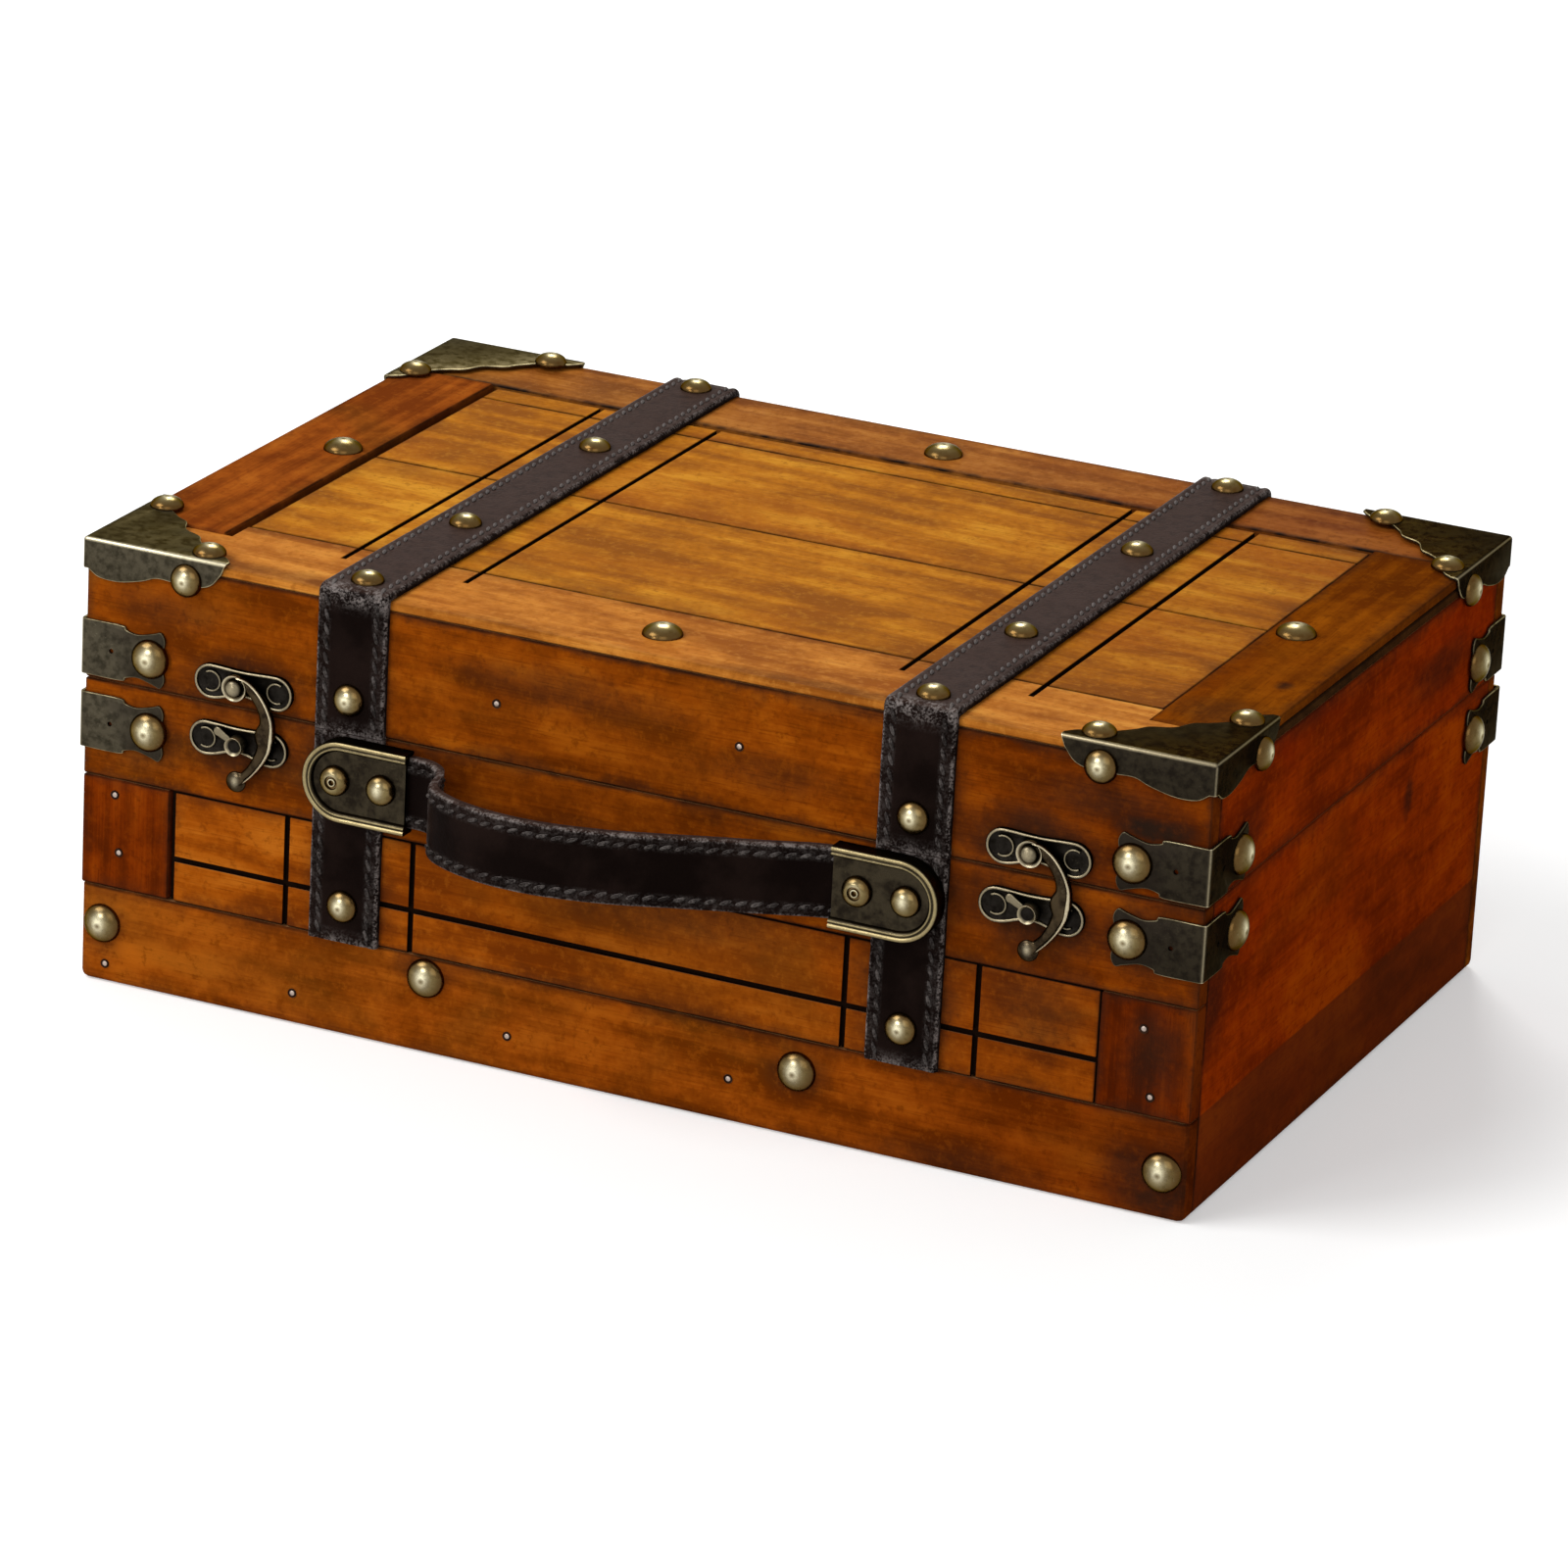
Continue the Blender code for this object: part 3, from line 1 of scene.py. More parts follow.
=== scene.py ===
"""The wooden suitcase box, dressed: stained boards, stitched leather, antique brass and bronze.

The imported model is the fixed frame. The boards keep their nodes and get their finish here.
Leather, sheet metal, latches, clips and nail heads are modelled over the nodes they stand for.
Lengths are metres. X runs to the right along the front, Y to the back, Z up.
"""

import logging
import math
from contextlib import contextmanager
from dataclasses import dataclass, replace
from enum import Enum
from functools import cache
from typing import Callable, Iterator, Sequence

import bmesh
import bpy
from mathutils import Matrix, Vector, noise


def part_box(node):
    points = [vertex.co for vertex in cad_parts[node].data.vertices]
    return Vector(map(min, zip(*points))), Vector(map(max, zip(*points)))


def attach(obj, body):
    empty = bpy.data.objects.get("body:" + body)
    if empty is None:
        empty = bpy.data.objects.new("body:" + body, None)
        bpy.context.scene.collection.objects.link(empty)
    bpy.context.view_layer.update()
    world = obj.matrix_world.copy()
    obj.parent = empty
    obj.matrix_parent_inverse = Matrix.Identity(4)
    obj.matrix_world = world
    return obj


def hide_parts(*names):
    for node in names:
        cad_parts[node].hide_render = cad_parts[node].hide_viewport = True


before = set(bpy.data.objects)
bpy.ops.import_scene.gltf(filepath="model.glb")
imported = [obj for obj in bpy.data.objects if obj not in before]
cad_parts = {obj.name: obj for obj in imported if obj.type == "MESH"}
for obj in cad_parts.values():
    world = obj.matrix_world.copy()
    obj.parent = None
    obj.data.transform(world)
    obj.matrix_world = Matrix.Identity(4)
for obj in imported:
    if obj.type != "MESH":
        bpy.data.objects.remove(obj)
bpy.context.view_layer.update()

Point = tuple[float, float]
Colour = tuple[float, float, float]
Object = bpy.types.Object
Material = bpy.types.Material
Socket = bpy.types.NodeSocket

LOG = logging.getLogger("suitcase_box")
MERGE_DISTANCE = 1e-6
MILLIMETRE = 0.001
PATCH_DEPTH = 0.009
# Shape of the crown's bright spot: polish and a painted highlight, set a little above the middle.
CROWN_WIDTH = 0.27
CROWN_LENGTH = 0.38
CROWN_SHIFT = 0.13


@dataclass(frozen=True)
class CaseSizes:
    """The sizes that the whole case shares."""

    length: float = 0.330
    depth: float = 0.217
    height: float = 0.127
    split: float = 0.088
    gap: float = 0.0003
    strip_rise: float = 0.0005
    rail: float = 0.028
    leather_face: float = 0.0023
    sheet_face: float = 0.0011

    @property
    def half_length(self) -> float:
        """Half of the case's length."""
        return self.length / 2

    @property
    def half_depth(self) -> float:
        """Half of the case's depth."""
        return self.depth / 2

    @property
    def lid_floor(self) -> float:
        """Height of the lid's lower edge."""
        return self.split + self.gap

    @property
    def lid_height(self) -> float:
        """Height of the lid from the split up."""
        return self.height - self.split


CASE = CaseSizes()


class Axis(Enum):
    """A direction of the case."""

    X = 0
    Y = 1
    Z = 2


class Face(Enum):
    """A face of the case, as its axis and its sign."""

    FRONT = (Axis.Y, -1)
    BACK = (Axis.Y, 1)
    LEFT = (Axis.X, -1)
    RIGHT = (Axis.X, 1)
    TOP = (Axis.Z, 1)
    BOTTOM = (Axis.Z, -1)

    @property
    def axis(self) -> Axis:
        """Axis that the face looks along."""
        return self.value[0]

    @property
    def sign(self) -> int:
        """Way that the face looks along its axis."""
        return self.value[1]

    @property
    def level(self) -> float:
        """Place of the face on its axis."""
        reach = (CASE.half_length, CASE.half_depth, CASE.height)[self.axis.value]
        return 0.0 if self is Face.BOTTOM else self.sign * reach

    def place(self, first: float, second: float, proud: float = 0.0) -> Matrix:
        """Give the frame of a piece that is modelled flat, its Z out of the face.

        Args:
            first: Place along the case, or along its depth on the left and right faces.
            second: Height, or the place along the depth on the top face.
            proud: Distance out from the face.

        Returns:
            The matrix that puts the piece there.
        """
        spot = [first, second]
        spot.insert(self.axis.value, self.level + self.sign * proud)
        if self.axis is Axis.Z:
            return Matrix.Translation(spot)
        quarters = {Face.FRONT: 0, Face.RIGHT: 1, Face.BACK: 2, Face.LEFT: -1}[self]
        turn = Matrix.Rotation(quarters * math.pi / 2, 4, "Z")
        return Matrix.Translation(spot) @ turn @ Matrix.Rotation(math.pi / 2, 4, "X")


SIDES = {"left": -1, "right": 1}
CORNERS = {
    "front_left": (-1, -1), "front_right": (1, -1), "back_left": (-1, 1), "back_right": (1, 1),
}


def deselect() -> None:
    """Leave every object unselected, in object mode."""
    if bpy.context.object and bpy.context.object.mode != "OBJECT":
        bpy.ops.object.mode_set(mode="OBJECT")
    bpy.ops.object.select_all(action="DESELECT")


def take_up(*objs: Object) -> None:
    """Select only these objects, with the first one active.

    Args:
        objs: The objects to work on.
    """
    deselect()
    for obj in objs:
        obj.select_set(True)
    bpy.context.view_layer.objects.active = objs[0]


@contextmanager
def editing(obj: Object, mode: str = "FACE", choose: str = "SELECT") -> Iterator[None]:
    """Edit an object's mesh.

    Args:
        obj: The object to edit.
        mode: What is selected: VERT, EDGE or FACE.
        choose: SELECT to begin with all of it selected, DESELECT with nothing.

    Yields:
        Nothing. The mesh is in edit mode until the block ends.
    """
    take_up(obj)
    bpy.ops.object.mode_set(mode="EDIT")
    bpy.ops.mesh.select_mode(type=mode)
    bpy.ops.mesh.select_all(action=choose)
    yield
    bpy.ops.object.mode_set(mode="OBJECT")


def pick(obj: Object, test: Callable[..., bool], parts: str = "faces") -> None:
    """Select the faces or the edges that pass a test, in edit mode.

    Args:
        obj: The object being edited.
        test: Says whether a face or an edge is wanted.
        parts: faces or edges.
    """
    shape = bmesh.from_edit_mesh(obj.data)
    for part in getattr(shape, parts):
        part.select_set(test(part))
    bmesh.update_edit_mesh(obj.data)


def face_outwards(obj: Object) -> Object:
    """Merge doubles and turn all the faces outwards.

    Args:
        obj: A closed piece.

    Returns:
        The same object.
    """
    with editing(obj, "VERT"):
        bpy.ops.mesh.remove_doubles(threshold=MERGE_DISTANCE)
        bpy.ops.mesh.normals_make_consistent(inside=False)
    return obj


def stretch(x: float, y: float, z: float) -> None:
    """Scale what is selected about zero, in edit mode."""
    bpy.ops.transform.resize(value=(x, y, z), center_override=(0, 0, 0))


def named(name: str) -> Object:
    """Give the newest primitive its name.

    Args:
        name: Name of the piece.

    Returns:
        The primitive's object.
    """
    obj = bpy.context.object
    obj.name = obj.data.name = name
    return obj


def rod(name: str, sides: int, radius: float, height: float) -> Object:
    """Model an upright rod about zero, with this many sides."""
    bpy.ops.mesh.primitive_cylinder_add(vertices=sides, radius=radius, depth=height)
    return named(name)


def ball(name: str, segments: int, rings: int) -> Object:
    """Model a ball of radius 1 about zero, with these numbers of faces around and along."""
    bpy.ops.mesh.primitive_uv_sphere_add(segments=segments, ring_count=rings, radius=1.0)
    return named(name)


def dome(name: str, segments: int, rings: int) -> Object:
    """Model the upper half of a ball whose radius is 1.

    Args:
        name: Name of the dome.
        segments: Its faces around.
        rings: The whole ball's faces from pole to pole.

    Returns:
        The closed dome, standing on the XY plane.
    """
    obj = ball(name, segments, rings)
    with editing(obj):
        bpy.ops.mesh.bisect(plane_co=(0, 0, 0), plane_no=(0, 0, 1), use_fill=True,
                            clear_inner=True)
    return obj


def blank(name: str, outline: Sequence[Point]) -> Object:
    """Cut a flat blank to an outline in the XY plane.

    Args:
        name: Name of the blank.
        outline: Its corners in order.

    Returns:
        An object with one face.
    """
    bpy.ops.mesh.primitive_circle_add(vertices=len(outline), radius=1.0, fill_type="NGON")
    obj = named(name)
    for vertex, point in zip(obj.data.vertices, outline):
        vertex.co = (*point, 0.0)
    return obj


def plate(name: str, outline: Sequence[Point], thickness: float) -> Object:
    """Make a plate that stands on the XY plane.

    Args:
        name: Name of the plate.
        outline: Its corners in order.
        thickness: Its thickness along Z.

    Returns:
        The closed plate.
    """
    obj = blank(name, outline)
    with editing(obj):
        bpy.ops.mesh.extrude_region_move(TRANSFORM_OT_translate={"value": (0, 0, thickness)})
    return face_outwards(obj)


def inset(obj: Object, test: Callable[..., bool], width: float, sink: float) -> None:
    """Inset faces and sink what is inside their border.

    Args:
        obj: The piece.
        test: Says whether a face is wanted.
        width: Width of the border that stays.
        sink: Depth by which the middle goes down.
    """
    with editing(obj, choose="DESELECT"):
        pick(obj, test)
        bpy.ops.mesh.inset(thickness=width, depth=0)
        bpy.ops.transform.translate(value=(0, 0, -sink))


def inset_top(obj: Object, level: float, width: float, sink: float) -> None:
    """Inset a plate's top, which is at this level, and sink what is inside the border."""
    inset(obj, lambda face: face.normal.z > 0.9
          and abs(face.calc_center_median().z - level) < MERGE_DISTANCE * 10, width, sink)


def apply_modifier(obj: Object, kind: str, **settings: object) -> Object:
    """Add one modifier with its settings and apply it.

    Args:
        obj: The object.
        kind: The modifier's type.
        settings: Values by the modifier's own names.

    Returns:
        The same object.
    """
    take_up(obj)
    bpy.ops.object.modifier_add(type=kind)
    modifier = obj.modifiers[-1]
    for key, value in settings.items():
        setattr(modifier, key, value)
    bpy.ops.object.modifier_apply(modifier=modifier.name)
    return obj


def soften(obj: Object, width: float, segments: int, angle: float, slot: int = -1) -> Object:
    """Round edges that are sharper than an angle in degrees, if wanted in a slot of their own."""
    return apply_modifier(obj, "BEVEL", width=width, segments=segments, limit_method="ANGLE",
                          angle_limit=math.radians(angle), material=slot)


def shade(obj: Object, angle: float) -> Object:
    """Shade the round faces smooth and keep the sharp edges.

    Args:
        obj: The object.
        angle: Angle in degrees past which an edge is sharp.

    Returns:
        The same object.
    """
    take_up(obj)
    bpy.ops.object.shade_smooth_by_angle(angle=math.radians(angle))
    return obj


def dress(obj: Object, *materials: Material) -> Object:
    """Give a piece its materials.

    Args:
        obj: The piece.
        materials: One material for each slot.

    Returns:
        The same object.
    """
    obj.data.materials.clear()
    for material in materials:
        obj.data.materials.append(material)
    return obj


def paint(obj: Object, name: str, value_of: Callable[[Vector], float]) -> Object:
    """Store a value at each point of a mesh, for its finish to read.

    Args:
        obj: The piece.
        name: Name of the attribute.
        value_of: Gives the value at a point.

    Returns:
        The same object.
    """
    values = [value_of(vertex.co) for vertex in obj.data.vertices]
    attribute = obj.data.attributes.new(name, "FLOAT", "POINT")
    attribute.data.foreach_set("value", values)
    return obj


def score(obj: Object, *planes: Vector) -> None:
    """Cut edges into a mesh along planes, so that painted wear can end there.

    Args:
        obj: The piece.
        planes: Each plane's nearest point to zero, which is also its normal.
    """
    for plane in planes:
        with editing(obj):
            bpy.ops.mesh.bisect(plane_co=plane, plane_no=plane.normalized())


def copies(name: str, model: Object, places: Sequence[Matrix]) -> Object:
    """Copy a model to its places and join the copies to one piece.

    Args:
        name: Name of the piece.
        model: The model, at the origin.
        places: One matrix for each copy.

    Returns:
        The joined piece.
    """
    made = []
    for place in places:
        copy = model.copy()
        copy.data = model.data.copy()
        bpy.context.scene.collection.objects.link(copy)
        copy.data.transform(place)
        if place.determinant() < 0:
            copy.data.flip_normals()
        made.append(copy)
    take_up(*made)
    if len(made) > 1:
        bpy.ops.object.join()
    made[0].name = made[0].data.name = name
    return made[0]


def discard(*objs: Object) -> None:
    """Remove models that were only copied."""
    for obj in objs:
        bpy.data.objects.remove(obj, do_unlink=True)


def crown(point: Vector, high: float = 0.9) -> float:
    """Give polish and painted highlight on a round head of radius 1, highest above its middle."""
    return high * math.exp(-(point.x / CROWN_WIDTH) ** 2
                           - ((point.y - CROWN_SHIFT) / CROWN_LENGTH) ** 2)


def joined(*objs: Object) -> Object:
    """Join several objects to the first.

    Args:
        objs: The objects.

    Returns:
        The first object, with all the meshes.
    """
    take_up(*objs)
    bpy.ops.object.join()
    return objs[0]


def united(obj: Object, *others: Object, operation: str = "UNION") -> Object:
    """Join solids to one closed solid, or cut them away.

    Args:
        obj: The solid that stays.
        others: The solids that are joined or cut, which are used up.
        operation: UNION or DIFFERENCE.

    Returns:
        The same object.
    """
    for other in others:
        apply_modifier(obj, "BOOLEAN", operation=operation, solver="EXACT", object=other)
    discard(*others)
    return obj


def settle(obj: Object, body: str, slot: str, *stands_for: str) -> None:
    """Hang a finished piece on its body and report it.

    Args:
        obj: The finished piece.
        body: The body that it rides on.
        slot: Not used.
        stands_for: The CAD nodes that it replaces.
    """
    if stands_for:
        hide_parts(*stands_for)
    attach(obj, body)
    LOG.info("%s on %s: %d faces", obj.name, body, len(obj.data.polygons))


def smooth_line(points: Sequence[Vector], steps: int) -> list[Vector]:
    """Run a smooth curve through points.

    Args:
        points: The points in order.
        steps: Steps between two points.

    Returns:
        The points of the curve.
    """
    ends = [2 * points[0] - points[1], *points, 2 * points[-1] - points[-2]]
    line = []
    for before, here, there, after in zip(ends, ends[1:], ends[2:], ends[3:]):
        for step in range(steps):
            t = step / steps
            line.append(0.5 * (2 * here + (there - before) * t
                               + (2 * before - 5 * here + 4 * there - after) * t * t
                               + (3 * here - before - 3 * there + after) * t * t * t))
    return [*line, points[-1]]


def swept(name: str, profile: Sequence[Point], stations: Sequence[Matrix],
          closed: bool = False) -> Object:
    """Sweep a closed profile through stations.

    Args:
        name: Name of the piece.
        profile: Points of the profile in the stations' XY planes.
        stations: Frames along the way.
        closed: Whether the last station joins the first.

    Returns:
        The closed piece.
    """
    along = len(stations) - (0 if closed else 1)
    across = len(profile)
    bpy.ops.mesh.primitive_grid_add(x_subdivisions=along, y_subdivisions=across, size=1.0)
    obj = named(name)
    for vertex in obj.data.vertices:
        column = round((vertex.co.x + 0.5) * along) % len(stations)
        row = round((vertex.co.y + 0.5) * across) % across
        vertex.co = stations[column] @ Vector((*profile[row], 0))
    with editing(obj, "VERT"):
        bpy.ops.mesh.remove_doubles(threshold=MERGE_DISTANCE)
        bpy.ops.mesh.fill_holes(sides=0)
        bpy.ops.mesh.select_all(action="SELECT")
        bpy.ops.mesh.normals_make_consistent(inside=False)
    return obj


def stations_along(line: Sequence[Vector], closed: bool = False) -> list[Matrix]:
    """Frame each point of a level line: X to its side, Y up and Z along it.

    Args:
        line: The points.
        closed: Whether the line is a ring.

    Returns:
        One matrix for each point.
    """
    frames = []
    count = len(line)
    up = Vector((0, 0, 1))
    for index, point in enumerate(line):
        after = line[(index + 1) % count] if closed else line[min(index + 1, count - 1)]
        before = line[index - 1] if closed or index else line[0]
        ahead = (after - before).normalized()
        turn = Matrix((up.cross(ahead).normalized(), up, ahead)).transposed().to_4x4()
        frames.append(Matrix.Translation(point) @ turn)
    return frames


def background_rays(tree: bpy.types.NodeTree) -> Socket:
    """Tell the rays that show the background from those that light the case.

    Args:
        tree: The nodes of the floor or the world.

    Returns:
        1 on camera, glossy and transmission rays, and 0 on the others.
    """
    rays = tree.nodes.new("ShaderNodeLightPath")
    seen = rays.outputs["Is Camera Ray"]
    for output in ("Is Glossy Ray", "Is Transmission Ray"):
        either = tree.nodes.new("ShaderNodeMath")
        either.operation = "MAXIMUM"
        tree.links.new(seen, either.inputs[0])
        tree.links.new(rays.outputs[output], either.inputs[1])
        seen = either.outputs[0]
    return seen


class FinishGraph:
    """A material's nodes, with short ways to add and join them."""

    def __init__(self, name: str) -> None:
        """Start a material.

        Args:
            name: Name of the material.
        """
        self.material = bpy.data.materials.new(name)
        self.material.use_nodes = True
        self.tree = self.material.node_tree
        self.shader = self.tree.nodes["Principled BSDF"]
        coordinates = self.tree.nodes.new("ShaderNodeTexCoord")
        self.place = coordinates.outputs["Object"]
        self.normal = coordinates.outputs["Normal"]

    def feed(self, socket: Socket, value: object) -> None:
        """Link a socket to a socket, or set its value.

        Args:
            socket: The input.
            value: An output, a number or a colour.
        """
        if isinstance(value, bpy.types.NodeSocket):
            self.tree.links.new(value, socket)
        elif isinstance(value, tuple) and len(value) == 3 and socket.type == "RGBA":
            socket.default_value = (*value, 1.0)
        else:
            socket.default_value = value

    def node(self, kind: str, **inputs: object) -> bpy.types.Node:
        """Add a node and feed its inputs.

        Args:
            kind: The node's type.
            inputs: Values by input name, with underscores for spaces.

        Returns:
            The node.
        """
        node = self.tree.nodes.new(kind)
        for key, value in inputs.items():
            self.feed(node.inputs[key.replace("_", " ")], value)
        return node

    def sum(self, operation: str, *values: object, clamp: bool = False) -> Socket:
        """Work out one value from others.

        Args:
            operation: The Math node's operation.
            values: Its inputs.
            clamp: Whether the result stays between 0 and 1.

        Returns:
            The result.
        """
        node = self.tree.nodes.new("ShaderNodeMath")
        node.operation = operation
        node.use_clamp = clamp
        for socket, value in zip(node.inputs, values):
            self.feed(socket, value)
        return node.outputs[0]

    def times(self, first: object, second: object, clamp: bool = False) -> Socket:
        """Multiply two values."""
        return self.sum("MULTIPLY", first, second, clamp=clamp)

    def moved(self, shift: Sequence[float], scale: Sequence[float]) -> Socket:
        """Shift and scale the object's coordinates for one pattern."""
        return self.node("ShaderNodeMapping", Vector=self.place, Location=tuple(shift),
                         Scale=tuple(scale)).outputs[0]

    def clouds(self, vector: Socket, scale: float, detail: float = 2.0, rough: float = 0.5,
               twist: float = 0.0) -> Socket:
        """Add a noise pattern from 0 to 1."""
        return self.node("ShaderNodeTexNoise", Vector=vector, Scale=scale, Detail=detail,
                         Roughness=rough, Distortion=twist).outputs[0]

    def span(self, value: Socket, low: float, high: float, start: float = 0.0,
             end: float = 1.0) -> Socket:
        """Map a value smoothly from one range to another.

        Args:
            value: The value.
            low: Where the range begins.
            high: Where the range ends.
            start: Result at the low end.
            end: Result at the high end.

        Returns:
            The mapped value.
        """
        node = self.tree.nodes.new("ShaderNodeMapRange")
        node.interpolation_type = "SMOOTHSTEP"
        for socket, given in zip(node.inputs, (value, low, high, start, end)):
            self.feed(socket, given)
        return node.outputs[0]

    def parted(self, vector: Socket) -> dict[str, Socket]:
        """Part a vector into its values by letter."""
        node = self.node("ShaderNodeSeparateXYZ", Vector=vector)
        return dict(zip("xyz", node.outputs))

    def length(self, vector: Socket) -> Socket:
        """Measure a vector.

        Args:
            vector: The vector.

        Returns:
            Its length.
        """
        node = self.node("ShaderNodeVectorMath", Vector=vector)
        node.operation = "LENGTH"
        return node.outputs["Value"]

    def blend(self, share: object, first: object, second: object, mode: str = "MIX") -> Socket:
        """Mix two colours.

        Args:
            share: Share of the second.
            first: The first colour.
            second: The second colour.
            mode: The way of mixing.

        Returns:
            The mixed colour.
        """
        node = self.tree.nodes.new("ShaderNodeMix")
        node.data_type = "RGBA"
        node.blend_type = mode
        self.feed(node.inputs[0], share)
        self.feed(node.inputs[6], first)
        self.feed(node.inputs[7], second)
        return node.outputs[2]

    def ramp(self, value: Socket, stops: Sequence[tuple[float, Colour]]) -> Socket:
        """Colour a value by stops.

        Args:
            value: The value.
            stops: Places from 0 to 1 and their colours.

        Returns:
            The colour.
        """
        node = self.node("ShaderNodeValToRGB", Fac=value)
        elements = node.color_ramp.elements
        while len(elements) < len(stops):
            elements.new(0.5)
        for element, (place, colour) in zip(elements, stops):
            element.position = place
            element.color = (*colour, 1.0)
        return node.outputs[0]

    def relief(self, height: Socket, strength: float, distance: float,
               under: Socket | None = None) -> Socket:
        """Add a bump, if wanted over another one.

        Args:
            height: The pattern.
            strength: Its strength.
            distance: Its depth in metres.
            under: The bump that it lies on.

        Returns:
            The bent normal.
        """
        node = self.node("ShaderNodeBump", Strength=strength, Distance=distance, Height=height)
        if under is not None:
            self.feed(node.inputs["Normal"], under)
        return node.outputs[0]

    def stored(self, name: str) -> Socket:
        """Read a value that is stored at the mesh's points.

        Args:
            name: Name of the attribute.

        Returns:
            The value.
        """
        node = self.tree.nodes.new("ShaderNodeAttribute")
        node.attribute_name = name
        return node.outputs["Fac"]

    def finish(self, colour: object, roughness: object, normal: Socket,
               **constants: object) -> Material:
        """Feed the shader and give the material.

        Args:
            colour: Base colour.
            roughness: Roughness.
            normal: The bent normal.
            constants: Values of other sockets, with underscores for spaces.

        Returns:
            The finished material.
        """
        self.feed(self.shader.inputs["Base Color"], colour)
        self.feed(self.shader.inputs["Roughness"], roughness)
        self.feed(self.shader.inputs["Normal"], normal)
        for key, value in constants.items():
            self.shader.inputs[key.replace("_", " ")].default_value = value
        return self.material


@dataclass(frozen=True)
class Stain:
    """The tones that one stain takes in the figure of the wood, and its clouds."""

    light: Colour
    middle: Colour
    dark: Colour
    warm: Colour = (0.27, 0.055, 0.003)
    cool: Colour = (0.125, 0.048, 0.006)


AMBER = Stain((0.62, 0.265, 0.018), (0.45, 0.150, 0.006), (0.255, 0.075, 0.004),
              (0.36, 0.088, 0.004), (0.24, 0.100, 0.010))
BORDER = Stain((0.68, 0.290, 0.048), (0.53, 0.185, 0.024), (0.29, 0.082, 0.008),
               (0.40, 0.095, 0.007), (0.26, 0.100, 0.014))
HONEY = Stain((0.40, 0.110, 0.008), (0.285, 0.062, 0.003), (0.145, 0.028, 0.002))
ORANGE = Stain((0.33, 0.082, 0.004), (0.225, 0.046, 0.002), (0.105, 0.020, 0.001))
END_STRIP = Stain((0.40, 0.108, 0.012), (0.305, 0.071, 0.008), (0.165, 0.034, 0.005))
RUSSET = Stain((0.23, 0.040, 0.002), (0.155, 0.022, 0.001), (0.075, 0.011, 0.001))
MAHOGANY = Stain((0.39, 0.055, 0.001), (0.285, 0.031, 0.001), (0.145, 0.015, 0.001),
                 (0.34, 0.024, 0.001), (0.150, 0.026, 0.002))
UMBER = Stain((0.286, 0.074, 0.003), (0.198, 0.047, 0.002), (0.110, 0.0226, 0.0015),
              (0.27, 0.055, 0.002), (0.130, 0.038, 0.003))
# Painted shade: the dark band at the top panel's edge, in the recess under the strips.
PANEL_EDGE_SHADE = Stain((0.085, 0.036, 0.010), (0.055, 0.022, 0.006), (0.030, 0.012, 0.004),
                   (0.080, 0.025, 0.004), (0.050, 0.020, 0.006))
RAIL = Stain((0.38, 0.096, 0.006), (0.262, 0.055, 0.003), (0.125, 0.024, 0.001))
BARE = Stain((0.56, 0.36, 0.185), (0.47, 0.28, 0.135), (0.33, 0.175, 0.075))
BORDER_BACK = Stain((0.50, 0.200, 0.036), (0.35, 0.115, 0.016), (0.19, 0.052, 0.006),
                    (0.28, 0.065, 0.005), (0.17, 0.070, 0.012))
# Tint of the painted shade towards the case's right end.
RIGHT_SHADE_TINT = (0.50, 0.32, 0.20)
BAND = (0.075, 0.020, 0.006)
GRIME_AND_SHADE = (0.020, 0.010, 0.006)
KERF_AND_SHADE = (0.010, 0.005, 0.003)


@dataclass(frozen=True)
class DarkPatch:
    """A darker place on a board's face, in millimetres.

    The first and second direction are those of Face.place, and the reaches are half widths.
    """

    first: float
    second: float
    reach_first: float
    reach_second: float
    strength: float


class BoardGraph(FinishGraph):
    """The nodes of one board's wood, with its box, its coordinates and its normal by letter."""

    def __init__(self, node: str) -> None:
        """Start the wood.

        Args:
            node: The CAD node that it is for.
        """
        super().__init__(f"{node}_wood")
        self.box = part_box(node)
        self.apart = self.parted(self.place)
        self.turned = self.parted(self.normal)

    def from_side(self, side: str) -> Socket:
        """Measure how far a point is from one side of the board.

        Args:
            side: A sign and a letter, such as "+z".

        Returns:
            The distance.
        """
        level = self.box[side[0] == "+"]["xyz".index(side[1])]
        ends = (level, self.apart[side[1]])
        return self.sum("SUBTRACT", *(ends if side[0] == "+" else reversed(ends)))


